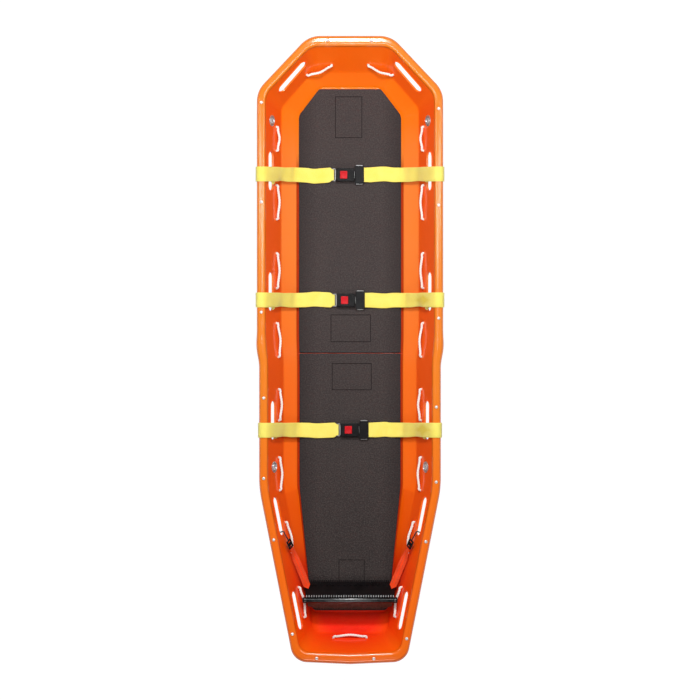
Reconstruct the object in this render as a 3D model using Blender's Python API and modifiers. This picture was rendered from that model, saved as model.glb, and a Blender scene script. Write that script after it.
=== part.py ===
"""Drag basket stretcher: moulded hull, tube in the rim, laced rope, mats, straps and footrest.

Metres, +Z up. The origin is at the centre of the base; +Y points to the head end.
"""
import math

import bmesh
import bpy
from mathutils import Matrix, Vector
from mathutils.bvhtree import BVHTree

# Overall size of the hull
LENGTH = 2.165
WIDTH = 0.642
DEPTH = 0.190
WALL = 0.004
GAP = 0.0003

# Heights of the hull's section
RUNNER_HEIGHT = 0.020
CREASE_RISE = 0.046
WALL_TOP_DROP = 0.014
LIP_DROP = 0.040

# Drag runners under the floor
RUNNER_WIDTH = 0.034
RUNNER_FROM_FLOOR_SIDE = 0.062
RUNNER_RAMP = 0.060
RUNNER_DRAFT = 0.004
RUNNER_FROM_HEAD = 0.235
RUNNER_FROM_FOOT = 0.225

# Rolled rim, and the tube inside it
RIM_WIDTH = 0.031
RIM_SHOULDER = 0.0045
RIM_SIDE_TOP = 0.013
RIM_SIDE_LOW = 0.031
RIM_LIP_INSET = 0.0022
RIM_SHOULDER_IN = 0.0035
RIM_FLAT_IN = 0.0100
RIM_FLAT_OUT = 0.0110
RIM_SHOULDER_OUT = 0.0038
TUBE_RADIUS = 0.010
SLEEVE_EXTRA = 0.0014
SLEEVE_Y = 0.005
SLEEVE_HALF_LENGTH = 0.066
SWELLING = 0.005

# Extra rings of the hull: shares of the way down the wall and down the slope
WALL_SHARES = (0.94,)
SLOPE_SHARES = (0.10, 0.93)

# Hand holes along the wall
SLOT_LENGTH = 0.135
SLOT_HEIGHT = 0.035
SLOT_INSET = 0.0475
SLOTS_FROM_HEAD = (0.4650, 0.8810)
SLOTS_FROM_FOOT = (0.8400, 0.5090, 0.1840)
HEAD_SLOT_X_FROM_SIDE = 0.1220
HEAD_SLOT_FROM_HEAD = 0.1400
HEAD_SLOT_TURN = math.radians(36.8)

# Lifting eyelets
EYELET_BORE = 0.010
EYELET_FLANGE = 0.0200
EYELET_BARREL = 0.0135
EYELET_THICK = 0.0022
EYELET_EDGE = 0.0006
EYELET_BACK_EDGE = 0.0010
EYELET_BEVEL = 0.0030
EYELET_INSET = 0.0515
EYELET_FROM_HEAD = 0.2905
EYELET_FROM_FOOT = 0.6785

# Rivets through the rim into the tube
RIVET_HEAD = 0.0056
RIVET_SHANK = 0.0022
RIVET_RISE = 0.0026
RIVET_CROWN = (0.62, 0.72)
RIVET_BITE = 0.0035
RIVET_INSET = 0.0155
LEFT_RIVETS_FROM_HEAD = (0.2292, 0.5720, 0.9520)
LEFT_RIVETS_FROM_FOOT = (0.9170, 0.6396, 0.4286, 0.1039)
RIGHT_RIVETS_FROM_HEAD = (0.2505, 0.5830, 0.9730)
RIGHT_RIVETS_FROM_FOOT = (0.8860, 0.6275, 0.4220, 0.0880)
HEAD_RIVETS_X = (-0.0780, 0.0730)
FOOT_RIVETS_X = (-0.1150, 0.0820)

# Laced rope: where each inside stretch starts and ends along the wall
ROPE_RADIUS = 0.0045
ROPE_CLEARANCE = 0.0012
ROPE_INSET = 0.0670
STRETCHES_FROM_HEAD = ((0.3110, 0.3940), (0.5130, 0.6310), (0.7480, 0.8690), (0.9890, 1.1060))
STRETCHES_FROM_FOOT = ((0.9470, 0.8390), (0.7120, 0.5980), (0.4880, 0.3820), (0.2630, 0.1600))
ROPE_HEAD_INNER = (0.0630, 0.0970)
ROPE_HEAD_OUTER_FROM_SIDE = (0.1720, 0.1310)
ROPE_FOOT_X = 0.0570
ROPE_FOOT_INSET = 0.0880
ROPE_LEAD = 0.012
ROPE_TURN = 0.002
ROPE_OFF_WALL = 0.006
ROPE_SAG = 0.004
ROPE_OUTER_EXTRA = 0.001
NEAR_REACH = 0.03

# Foam mat in two pieces
MAT_THICK = 0.010
MAT_MARGIN = 0.0030
MAT_BEVEL = 0.0015
MAT_SEAM_Y = -0.0110
MAT_SEAM_GAP = 0.0035
MAT_FROM_HEAD = 0.1790
MAT_FROM_FOOT = 0.1810

# Restraint straps
STRAP_WIDTH = 0.052
STRAP_THICK = 0.0024
STRAP_SLOTS = (0, 1, 2)
STRAP_ROOMS = (0.0305, 0.0125, 0.0075)
STRAP_X_OFFSETS = (0.0, 0.003, 0.016)
STRAP_CLEAR = 0.0006
STRAP_LIE = 0.0030
STRAP_OVER_FLOOR_EDGE = 0.0215
STRAP_OVER_CREASE = 0.0245
STRAP_THROUGH_SLOT = 0.0550
LOOP_END_INSET = 0.0745
LOOP_GAP = 0.0004
LOOP_TURN = 0.0060
STRAP_LEVEL_RUN = 0.012
STRAP_DROP_RUN = 0.040
STRAP_LIE_FROM_EDGE = 0.030
STRAP_CREASE_IN = 0.0070
STRAP_OFF_WALL_TOP = 0.0125
STRAP_OVER_SLOT_MIDDLE = 0.0005

# Press-button buckle and its tongue
BUCKLE_LENGTH = 0.064
BUCKLE_WIDTH = 0.046
BUCKLE_HEIGHT = 0.0160
BUCKLE_LIFT = 0.0012
BUCKLE_START = -0.0490
BUCKLE_BEVEL = 0.0030
MOUTH_DROP = 0.0030
BUTTON_LENGTH = 0.0245
BUTTON_WIDTH = 0.0265
BUTTON_THICK = 0.0036
BUTTON_RISE = 0.0008
BUTTON_POCKET = 0.0076
BUTTON_GAP = 0.0006
BUTTON_FROM_END = 0.0150
BUTTON_BEVEL = 0.0012
TONGUE_THICK = 0.0025
TONGUE_WIDTH = 0.0240
TONGUE_REACH = 0.0300
TONGUE_GAP = 0.0005
TONGUE_HEAD_WIDTH = 0.0680
TONGUE_HEAD_LENGTH = 0.0260
TONGUE_NECK = 0.0045
COVER_WIDTH = 0.0620
COVER_LENGTH = 0.0320
COVER_BELOW = 0.0054
COVER_ABOVE = 0.0078
COVER_TO_WEBBING = 0.0008
COVER_BEVEL = 0.0014
TONGUE_CHAMFER = 0.0030
LATCH_HOLE_FROM_TIP = 0.0080
LATCH_HOLE_LENGTH = 0.0080
LATCH_HOLE_WIDTH = 0.0120
PLATE_LENGTH = 0.0190
PLATE_WIDTH = 0.0440
PLATE_IN = 0.0060
PLATE_NECK_LENGTH = 0.0075
PLATE_NECK_CUT = 0.0045
WEBBING_OVER_PLATE = 0.0025

# Footrest
REST_Y_FROM_FOOT = 0.2190
REST_BAR_RADIUS = 0.0105
REST_BAR_FROM_EDGE = 0.0726
REST_BAR_Z = 0.1300
REST_FRONT_RUN = 0.0660
REST_FRONT_Z = 0.0520
REST_FRONT_FROM_EDGE = 0.0826
REST_FRONT_TAPER = 0.0060
REST_BACK_RUN = 0.0300
REST_BACK_FROM_EDGE = 0.0916
REST_BACK_TAPER = 0.0270
REST_PANEL = 0.0040
REST_RIB = 0.0050
REST_TEETH = 24
REST_BAYS = 6
REST_TAPER_UP_TO = 0.35
REST_TOOTH = (0.45, 0.55, 0.95)
STAND_RIB_FROM_LINE = 0.0040
STAND_RIB_WIDTH = 0.0030
STAND_RIB_SPAN = (0.12, 0.92)
REST_BAR_CHAMFER = 0.0015
GUSSET_INSET = 0.012
GUSSET_RISE = 0.012
GUSSET_DROP = 0.009

# Footrest straps
FOOT_STRAP_WIDTH = 0.025
FOOT_STRAP_THICK = 0.0018
FOOT_STRAP_POINT = 0.012
FOOT_STRAP_FROM_END = 0.010
FOOT_STRAP_SLOT = 3
FOOT_STRAP_DOWN_SLOT = 0.40
FOOT_STRAP_HEIGHT = 0.42
FOOT_STRAP_OFF_BOARD = 0.0050
LOCK_LENGTH = 0.030
LOCK_WIDTH = 0.033
LOCK_THICK = 0.0044
LOCK_WINDOW_X = 0.0078
LOCK_WINDOW_LENGTH = 0.0056
LOCK_WINDOW_WIDTH = 0.026
LOCK_SHARE = 0.22
LOCK_BEVEL = 0.0012
HOOK_RADIUS = 0.0022
HOOK_STANDOFF = 0.012
HOOK_TAIL = 0.010

HALF_L = LENGTH / 2
HALF_W = WIDTH / 2
FLOOR_Z = RUNNER_HEIGHT + WALL
CREASE_Z = FLOOR_Z + CREASE_RISE
WALL_TOP_Z = DEPTH - WALL_TOP_DROP
MAT_TOP = FLOOR_Z + GAP + MAT_THICK

# Plan outlines of the section's main lines. Each gives insets from the overall length and
# width, the corner cut at the head, the taper at the foot and the fillet radii.
EDGE = dict(side=0.0, head=0.0, foot=0.0, cut_x=0.1790, cut_y=0.1895, step=0.008,
            taper_start=0.6055, taper_in=0.1180, foot_corner=0.0085, radii=(0.090, 0.400, 0.058))
WALL_TOP = dict(side=RIM_WIDTH, head=RIM_WIDTH + 0.0070, foot=RIM_WIDTH + 0.0060,
                cut_x=0.1550, cut_y=0.1645, step=0.008, taper_start=0.6080, taper_in=0.1115,
                foot_corner=RIM_WIDTH + 0.0135, radii=(0.070, 0.400, 0.040))
CREASE = dict(side=0.0830, head=0.1200, foot=0.1000, cut_x=0.1100, cut_y=0.1245, step=0.008,
              taper_start=0.6120, taper_in=0.1006, foot_corner=0.1045, radii=(0.050, 0.300, 0.034))
FLOOR = dict(side=0.1410, head=0.1725, foot=0.1740, cut_x=0.0750, cut_y=0.0980, step=0.002,
             taper_start=0.6120, taper_in=0.0420, foot_corner=0.1775, radii=(0.040, 0.200, 0.030))
CORNER_STEPS = (5, 5, 3, 7)
SWELL_STEPS = 8


def reset_scene():
    for obj in list(bpy.data.objects):
        bpy.data.objects.remove(obj)


def collection(name):
    group = bpy.data.collections.new(name)
    bpy.context.scene.collection.children.link(group)
    return group


def material(name, colour, roughness, metallic=0.0):
    mat = bpy.data.materials.new(name)
    mat.use_nodes = True
    shader = mat.node_tree.nodes["Principled BSDF"]
    shader.inputs["Base Color"].default_value = (*colour, 1.0)
    shader.inputs["Roughness"].default_value = roughness
    shader.inputs["Metallic"].default_value = metallic
    return mat


def add_object(name, bm, mat=None, group=None, sharp=35.0):
    mesh = bpy.data.meshes.new(name)
    bmesh.ops.recalc_face_normals(bm, faces=bm.faces)
    bm.to_mesh(mesh)
    bm.free()
    if mat:
        mesh.materials.append(mat)
    mesh.shade_smooth()
    mesh.set_sharp_from_angle(angle=math.radians(sharp))
    obj = bpy.data.objects.new(name, mesh)
    (group or PARTS).objects.link(obj)
    return obj


def add_cutter(name, bm):
    obj = add_object(name, bm, group=CUTTERS)
    obj.hide_render = True
    obj.display_type = "WIRE"
    return obj


def cut(obj, cutter, operation="DIFFERENCE"):
    mod = obj.modifiers.new(cutter.name, "BOOLEAN")
    mod.operation = operation
    mod.object = cutter
    mod.solver = "EXACT"


def add_solidify(obj, thickness, offset=-1.0):
    mod = obj.modifiers.new("Thickness", "SOLIDIFY")
    mod.thickness = thickness
    mod.offset = offset
    mod.use_even_offset = True


def add_bevel(obj, width, segments=2, angle=40.0):
    mod = obj.modifiers.new("Rounded edges", "BEVEL")
    mod.width = width
    mod.segments = segments
    mod.limit_method = "ANGLE"
    mod.angle_limit = math.radians(angle)


def add_box(bm, low, high):
    """A box between two corners."""
    low, high = Vector(low), Vector(high)
    size = high - low
    place = Matrix.Translation((low + high) / 2) @ Matrix.Diagonal((*size, 1.0))
    return bmesh.ops.create_cube(bm, size=1.0, matrix=place)["verts"]


def add_cylinder(bm, start, end, radius, sides):
    """A cylinder from start to end."""
    start, end = Vector(start), Vector(end)
    axis = end - start
    turn = axis.to_track_quat("Z", "Y").to_matrix().to_4x4()
    place = Matrix.Translation((start + end) / 2) @ turn
    bmesh.ops.create_cone(bm, cap_ends=True, segments=sides, radius1=radius, radius2=radius,
                          depth=axis.length, matrix=place)


def add_prism(bm, outline, frame, depth):
    """A closed outline in the frame's XY plane, extruded both ways along its Z."""
    low = [bm.verts.new(frame @ Vector((x, y, -depth / 2))) for x, y in outline]
    high = [bm.verts.new(frame @ Vector((x, y, depth / 2))) for x, y in outline]
    bm.faces.new(list(reversed(low)))
    bm.faces.new(high)
    count = len(outline)
    for i in range(count):
        j = (i + 1) % count
        bm.faces.new((low[i], low[j], high[j], high[i]))


def add_lathe(bm, profile, frame, sides):
    """A closed profile of (radius, height) pairs turned round the frame's Z."""
    rings = []
    for k in range(sides):
        angle = 2 * math.pi * k / sides
        ring = [frame @ Vector((r * math.cos(angle), r * math.sin(angle), h)) for r, h in profile]
        rings.append([bm.verts.new(p) for p in ring])
    count = len(profile)
    for k in range(sides):
        ring, after = rings[k], rings[(k + 1) % sides]
        for i in range(count):
            j = (i + 1) % count
            bm.faces.new((ring[i], ring[j], after[j], after[i]))


def stadium(length, width, steps=4):
    """Outline of a slot with round ends, its length along X."""
    radius = width / 2
    reach = length / 2 - radius
    points = []
    for side, start in ((1, -math.pi / 2), (-1, math.pi / 2)):
        for i in range(steps + 1):
            angle = start + math.pi * i / steps
            points.append((side * reach + radius * math.cos(angle), radius * math.sin(angle)))
    return points


def fillet(before, corner, after, radius, steps):
    """Points of an arc that rounds one corner of an outline."""
    to_before = (before - corner).normalized()
    to_after = (after - corner).normalized()
    half = to_before.angle(to_after) / 2
    reach = radius / math.tan(half)
    centre = corner + (to_before + to_after).normalized() * radius / math.sin(half)
    start = corner + to_before * reach - centre
    end = corner + to_after * reach - centre
    sweep = start.angle(end)
    points = []
    for i in range(steps):
        t = i / (steps - 1)
        mixed = start * math.sin((1 - t) * sweep) + end * math.sin(t * sweep)
        points.append(centre + mixed / math.sin(sweep))
    return points


def swell(y):
    """1 over the middle of the rim tube's joint, 0 away from it."""
    away = abs(y - SLEEVE_Y) / SLEEVE_HALF_LENGTH
    return 0.5 + 0.5 * math.cos(math.pi * away) if away < 1 else 0.0


def half_outline(line):
    """One side of a plan outline, from the head's middle to the foot's middle."""
    side = HALF_W - line["side"]
    low_side = side - line["step"]
    head = HALF_L - line["head"]
    foot = -HALF_L + line["foot"]
    taper_y = -HALF_L + line["taper_start"]
    corner = Vector((low_side - line["taper_in"], -HALF_L + line["foot_corner"]))
    top = Vector((side, SLEEVE_Y + SLEEVE_HALF_LENGTH))
    low = Vector((low_side, SLEEVE_Y - SLEEVE_HALF_LENGTH))
    points = [Vector((0, head)), Vector((side - line["cut_x"], head)),
              Vector((side, head - line["cut_y"])), top, low,
              Vector((low_side, taper_y)), corner, Vector((0, foot))]
    round_head, round_taper, round_foot = line["radii"]
    outline = [points[0]]
    outline += fillet(points[0], points[1], points[2], round_head, CORNER_STEPS[0])
    outline += fillet(points[1], points[2], points[3], round_head, CORNER_STEPS[1])
    for i in range(SWELL_STEPS + 1):
        t = i / SWELL_STEPS
        ease = t * t * (3 - 2 * t)
        outline.append(Vector((top.x + (low.x - top.x) * ease, top.y + (low.y - top.y) * t)))
    outline += fillet(points[4], points[5], points[6], round_taper, CORNER_STEPS[2])
    outline += fillet(points[5], points[6], points[7], round_foot, CORNER_STEPS[3])
    outline.append(points[7])
    return outline


def full_outline(line):
    """The whole plan outline, clockwise from the head's middle."""
    right = half_outline(line)
    left = [Vector((-p.x, p.y)) for p in reversed(right[1:-1])]
    return right + left


def between(first, second, t):
    return [a.lerp(b, t) for a, b in zip(first, second)]


def rim_profile():
    """(inset from the edge, height) pairs over the rolled rim, from its lip to the wall."""
    shoulder = DEPTH - RIM_SHOULDER
    return ((RIM_LIP_INSET, DEPTH - LIP_DROP), (0.0, DEPTH - RIM_SIDE_LOW), (0.0, DEPTH - RIM_SIDE_TOP),
            (RIM_SHOULDER_IN, shoulder), (RIM_FLAT_IN, DEPTH), (RIM_WIDTH - RIM_FLAT_OUT, DEPTH),
            (RIM_WIDTH - RIM_SHOULDER_OUT, shoulder), (RIM_WIDTH, WALL_TOP_Z))


def hull_rings():
    """Rings of the hull's inner face, from the lip to the edge of the floor."""
    edge, wall_top, crease, floor = (full_outline(o) for o in (EDGE, WALL_TOP, CREASE, FLOOR))
    rings = []
    for inset, z in rim_profile():
        share = inset / RIM_WIDTH
        out = SWELLING * (1 - share)
        up = SLEEVE_EXTRA * math.sin(math.pi * min(1.0, share + 0.1))
        ring = []
        for p in between(edge, wall_top, share):
            bump = swell(p.y) if abs(p.x) > HALF_W / 2 else 0.0
            ring.append(Vector((p.x + math.copysign(out * bump, p.x), p.y, z + up * bump)))
        rings.append(ring)
    for first, second, high, low, shares in ((wall_top, crease, WALL_TOP_Z, CREASE_Z, WALL_SHARES),
                                             (crease, floor, CREASE_Z, FLOOR_Z, SLOPE_SHARES)):
        for share in shares:
            z = high + (low - high) * share
            rings.append([Vector((*p, z)) for p in between(first, second, share)])
    rings.append([Vector((*p, FLOOR_Z)) for p in floor])
    return rings


def hull_surface():
    """The hull's inner face as an open surface, split alike on both sides."""
    bm = bmesh.new()
    rings = [[bm.verts.new(p) for p in ring] for ring in hull_rings()]
    for ring, after in zip(rings, rings[1:]):
        for i in range(len(ring)):
            j = (i + 1) % len(ring)
            a, b, c, d = ring[i], ring[j], after[j], after[i]
            if i < len(ring) / 2:
                bm.faces.new((a, b, c))
                bm.faces.new((a, c, d))
            else:
                bm.faces.new((a, b, d))
                bm.faces.new((b, c, d))
    bm.faces.new(list(reversed(rings[-1])))
    for face in bm.faces:
        face.normal_update()
    return bm


def edge_x(y):
    """Half the width of the hull at a place along it."""
    outline = half_outline(EDGE)
    for a, b in zip(outline[1:], outline[2:]):
        if b.y <= y <= a.y and a.y > b.y:
            return a.x + (b.x - a.x) * (y - a.y) / (b.y - a.y)
    return 0.0


def on_wall(x, y):
    """Place and inward normal of the hull's inner face above or below a point of the plan."""
    place, normal, _, _ = HULL_TREE.ray_cast(Vector((x, y, 1.0)), Vector((0, 0, -1)))
    return place, normal if normal.z > 0 else -normal


def side_place(side, y, inset):
    return on_wall(side * (edge_x(y) - inset), y)


def wall_frame(place, normal, along):
    """X runs along the wall, Y up it and Z out of it into the basket."""
    x_axis = (along - normal * along.dot(normal)).normalized()
    y_axis = normal.cross(x_axis)
    frame = Matrix((x_axis, y_axis, normal)).transposed().to_4x4()
    return Matrix.Translation(place) @ frame


def slot_stations():
    from_head = [HALF_L - d for d in SLOTS_FROM_HEAD]
    return from_head + [-HALF_L + d for d in SLOTS_FROM_FOOT]


def wall_tangent(side, y, inset):
    """Direction of the wall along the side, toward the foot."""
    step = 0.004
    a = side_place(side, y + step, inset)[0]
    b = side_place(side, y - step, inset)[0]
    return (b - a).normalized()


def slot_frames():
    """Frames of the twelve hand holes on the wall's inner face."""
    frames = []
    for side in (-1, 1):
        place, normal = on_wall(side * (HALF_W - HEAD_SLOT_X_FROM_SIDE), HALF_L - HEAD_SLOT_FROM_HEAD)
        turn = Vector((side * math.sin(HEAD_SLOT_TURN), -math.cos(HEAD_SLOT_TURN), 0))
        frames.append(wall_frame(place, normal, turn))
        for y in slot_stations():
            place, normal = side_place(side, y, SLOT_INSET)
            frames.append(wall_frame(place, normal, wall_tangent(side, y, SLOT_INSET)))
    return frames


def eyelet_frames():
    frames = []
    for side in (-1, 1):
        for y in (HALF_L - EYELET_FROM_HEAD, -HALF_L + EYELET_FROM_FOOT):
            place, normal = side_place(side, y, EYELET_INSET)
            frames.append(wall_frame(place, normal, wall_tangent(side, y, EYELET_INSET)))
    return frames


def rope_stations():
    """Wall places where the rope passes, in order round the hull from the head's right."""
    side = [HALF_L - d for pair in STRETCHES_FROM_HEAD for d in pair]
    side += [-HALF_L + d for pair in STRETCHES_FROM_FOOT for d in pair]
    stations = []
    inner_x, inner_d = ROPE_HEAD_INNER
    outer_x, outer_d = ROPE_HEAD_OUTER_FROM_SIDE
    stations.append(on_wall(inner_x, HALF_L - inner_d))
    stations.append(on_wall(HALF_W - outer_x, HALF_L - outer_d))
    stations += [side_place(1, y, ROPE_INSET) for y in side]
    stations.append(on_wall(ROPE_FOOT_X, -HALF_L + ROPE_FOOT_INSET))
    mirror = []
    for place, normal in reversed(stations):
        flipped = Vector((-place.x, place.y, place.z)), Vector((-normal.x, normal.y, normal.z))
        mirror.append(flipped)
    return stations + mirror


def rope_points():
    """The rope's route: in and out of the wall, along its inner and outer faces by turns."""
    stations = rope_stations()
    count = len(stations)
    clear = ROPE_RADIUS + ROPE_CLEARANCE
    points = []
    for i, (place, normal) in enumerate(stations):
        inside_next = i % 2 == 0
        before = stations[i - 1][0]
        after = stations[(i + 1) % count][0]
        back = (before - place).normalized()
        ahead = (after - place).normalized()
        inner = place + normal * clear
        outer = place - normal * (WALL + clear)
        if inside_next:
            back = (back - normal * back.dot(normal)).normalized()
        else:
            ahead = (ahead - normal * ahead.dot(normal)).normalized()
        first, last = (outer, inner) if inside_next else (inner, outer)
        points.append(first + back * ROPE_LEAD)
        points.append(first + back * ROPE_TURN)
        points.append(last + ahead * ROPE_TURN)
        points.append(last + ahead * ROPE_LEAD)
        middle = (place + after) / 2
        next_normal = stations[(i + 1) % count][1]
        out = (normal + next_normal).normalized()
        if inside_next:
            points.append(middle + out * (clear + ROPE_OFF_WALL) - Vector((0, 0, ROPE_SAG)))
        else:
            points += outer_run(place, after, normal, next_normal)
    return points


def outer_run(place, after, normal, next_normal):
    """Points of the rope behind the wall, which keep off it where it turns a corner."""
    clear = WALL + ROPE_RADIUS + ROPE_CLEARANCE + ROPE_OUTER_EXTRA
    steps = 1 if abs(normal.angle(next_normal)) < 0.2 else 6
    points = []
    for k in range(1, steps + 1):
        t = k / (steps + 1)
        plan = place.lerp(after, t)
        away = normal.lerp(next_normal, t).normalized()
        hit, facing = nearest_wall(plan, -away)
        points.append(hit - facing * clear)
    return points


def nearest_wall(start, way):
    """Where a line from inside the basket at the rope's height meets the wall."""
    back = start - way * NEAR_REACH
    hit, normal, _, _ = HULL_TREE.ray_cast(back, way)
    if hit is None:
        return start, -way
    return hit, normal if normal.dot(way) < 0 else -normal


def rivet_places():
    """Rivets along the left side, along the right side, and at the two ends."""
    places = []
    for side, from_head, from_foot in ((-1, LEFT_RIVETS_FROM_HEAD, LEFT_RIVETS_FROM_FOOT),
                                       (1, RIGHT_RIVETS_FROM_HEAD, RIGHT_RIVETS_FROM_FOOT)):
        stations = [HALF_L - d for d in from_head] + [-HALF_L + d for d in from_foot]
        places += [(side * (edge_x(y) - RIVET_INSET), y) for y in stations]
    places += [(x, HALF_L - RIVET_INSET) for x in HEAD_RIVETS_X]
    return places + [(x, foot_edge_y(abs(x)) + RIVET_INSET) for x in FOOT_RIVETS_X]


def foot_edge_y(x):
    outline = half_outline(EDGE)
    for a, b in zip(outline, outline[1:]):
        if b.x <= x <= a.x and a.y < 0:
            return a.y + (b.y - a.y) * (x - a.x) / (b.x - a.x)
    return -HALF_L


def make_shell(mat):
    shell = add_object("shell", hull_surface(), mat)
    add_solidify(shell, WALL)
    runners = bmesh.new()
    spacing = HALF_W - FLOOR["side"] - RUNNER_FROM_FLOOR_SIDE
    for x in (-spacing, 0.0, spacing):
        add_runner(runners, x)
    cut(shell, add_cutter("runner_forms", runners), "UNION")
    holes = bmesh.new()
    depth = WALL * 6
    for frame in slot_frames():
        add_prism(holes, stadium(SLOT_LENGTH, SLOT_HEIGHT), frame, depth)
    for frame in eyelet_frames():
        z = frame.col[2].to_3d()
        at = frame.translation
        add_cylinder(holes, at - z * depth / 2, at + z * depth / 2, EYELET_BARREL + GAP, 16)
    for place, normal in rope_stations():
        reach = normal * depth / 2
        add_cylinder(holes, place - reach, place + reach, ROPE_RADIUS + ROPE_CLEARANCE, 8)
    for x, y in rivet_places():
        low = (x, y, DEPTH - WALL * 2)
        add_cylinder(holes, low, (x, y, DEPTH + WALL), RIVET_SHANK + GAP * 2, 8)
    cut(shell, add_cutter("hull_holes", holes))
    return shell


def add_runner(bm, x):
    """A drag runner with sloping ends and sides, standing on the ground."""
    start = -HALF_L + RUNNER_FROM_FOOT
    end = HALF_L - RUNNER_FROM_HEAD
    top = RUNNER_HEIGHT + WALL / 2
    half = RUNNER_WIDTH / 2
    verts = []
    for z, trim, width in ((0.0, RUNNER_RAMP, half - RUNNER_DRAFT), (top, 0.0, half)):
        for sx, sy in ((-1, start + trim), (1, start + trim), (1, end - trim), (-1, end - trim)):
            verts.append(bm.verts.new((x + sx * width, sy, z)))
    bm.faces.new(list(reversed(verts[:4])))
    bm.faces.new(verts[4:])
    for i in range(4):
        j = (i + 1) % 4
        bm.faces.new((verts[i], verts[j], verts[4 + j], verts[4 + i]))


def tube_along(name, points, radius, mat, resolution, cyclic=False, radii=None):
    """A tube on a poly spline, as a mesh whose caps are welded."""
    curve = bpy.data.curves.new(name, "CURVE")
    curve.dimensions = "3D"
    spline = curve.splines.new("POLY")
    spline.points.add(len(points) - 1)
    for i, p in enumerate(points):
        spline.points[i].co = (*p, 1.0)
        spline.points[i].radius = radii[i] if radii else 1.0
    spline.use_cyclic_u = cyclic
    curve.bevel_depth = radius
    curve.bevel_resolution = resolution
    curve.use_fill_caps = not cyclic
    guide = bpy.data.objects.new(name + "_route", curve)
    PARTS.objects.link(guide)
    bpy.context.view_layer.update()
    mesh = bpy.data.meshes.new_from_object(guide.evaluated_get(bpy.context.evaluated_depsgraph_get()))
    bm = bmesh.new()
    bm.from_mesh(mesh)
    bmesh.ops.remove_doubles(bm, verts=bm.verts, dist=0.00001)
    bpy.data.objects.remove(guide)
    bpy.data.meshes.remove(mesh)
    return add_object(name, bm, mat)


def make_rim_tube(mat):
    edge, wall_top = full_outline(EDGE), full_outline(WALL_TOP)
    share = (WALL + GAP + TUBE_RADIUS) / RIM_WIDTH
    z = DEPTH - WALL - GAP * 3 - TUBE_RADIUS
    points = []
    radii = []
    for p in between(edge, wall_top, share):
        bump = swell(p.y) if abs(p.x) > HALF_W / 2 else 0.0
        points.append(Vector((p.x + math.copysign(SWELLING * 0.5 * bump, p.x), p.y, z)))
        radii.append(1.0 + bump * SLEEVE_EXTRA / TUBE_RADIUS)
    tube = tube_along("rim_tube", points, TUBE_RADIUS, mat, 2, cyclic=True, radii=radii)
    holes = bmesh.new()
    for x, y in rivet_places():
        add_cylinder(holes, (x, y, z + TUBE_RADIUS / 2), (x, y, DEPTH), RIVET_SHANK + GAP * 2, 8)
    cut(tube, add_cutter("tube_holes", holes))
    return tube


def make_rivets(mat):
    crown_out, crown_up = RIVET_CROWN
    for number, (x, y) in enumerate(rivet_places(), 1):
        profile = [(0.0, RIVET_RISE), (RIVET_HEAD * crown_out, RIVET_RISE * crown_up), (RIVET_HEAD, 0.0),
                   (RIVET_SHANK, 0.0), (RIVET_SHANK, -WALL - RIVET_BITE), (0.0, -WALL - RIVET_BITE)]
        bm = bmesh.new()
        add_turned(bm, profile, Matrix.Translation((x, y, DEPTH + GAP)), 8)
        add_object(f"rim_rivet_{number:02d}", bm, mat)


def add_turned(bm, profile, frame, sides):
    """A solid turned shape whose profile starts and ends on the axis."""
    top = bm.verts.new(frame @ Vector((0, 0, profile[0][1])))
    bottom = bm.verts.new(frame @ Vector((0, 0, profile[-1][1])))
    rings = []
    for r, h in profile[1:-1]:
        ring = []
        for k in range(sides):
            angle = 2 * math.pi * k / sides
            ring.append(bm.verts.new(frame @ Vector((r * math.cos(angle), r * math.sin(angle), h))))
        rings.append(ring)
    for k in range(sides):
        j = (k + 1) % sides
        bm.faces.new((top, rings[0][k], rings[0][j]))
        bm.faces.new((bottom, rings[-1][j], rings[-1][k]))
        for ring, after in zip(rings, rings[1:]):
            bm.faces.new((ring[k], after[k], after[j], ring[j]))


def make_eyelets(mat):
    names = ("foot_left", "head_left", "foot_right", "head_right")
    order = (1, 0, 3, 2)
    frames = eyelet_frames()
    out = GAP + EYELET_THICK
    back = -WALL - GAP
    for name, index in zip(names, order):
        profile = [(EYELET_BORE, out), (EYELET_FLANGE - EYELET_BEVEL, out),
                   (EYELET_FLANGE, GAP + EYELET_EDGE), (EYELET_FLANGE, GAP), (EYELET_BARREL, GAP),
                   (EYELET_BARREL, back), (EYELET_FLANGE, back), (EYELET_FLANGE, back - EYELET_BACK_EDGE),
                   (EYELET_FLANGE - EYELET_BEVEL, back - EYELET_THICK),
                   (EYELET_BORE, back - EYELET_THICK)]
        bm = bmesh.new()
        add_lathe(bm, profile, frames[index], 16)
        add_object(f"lifting_eyelet_{name}", bm, mat)


def make_rope(mat):
    return tube_along("laced_rope", rope_points(), ROPE_RADIUS, mat, 1, cyclic=True)


def mat_outline():
    """Right half of the foam mat's outline, from the head's middle to the foot's middle."""
    top = HALF_L - MAT_FROM_HEAD
    bottom = -HALF_L + MAT_FROM_FOOT
    outline = []
    for p in half_outline(FLOOR):
        x = max(0.0, p.x - MAT_MARGIN)
        y = min(top, max(bottom, p.y))
        outline.append(Vector((x if p.x > 0 else 0.0, y)))
    return outline


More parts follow.
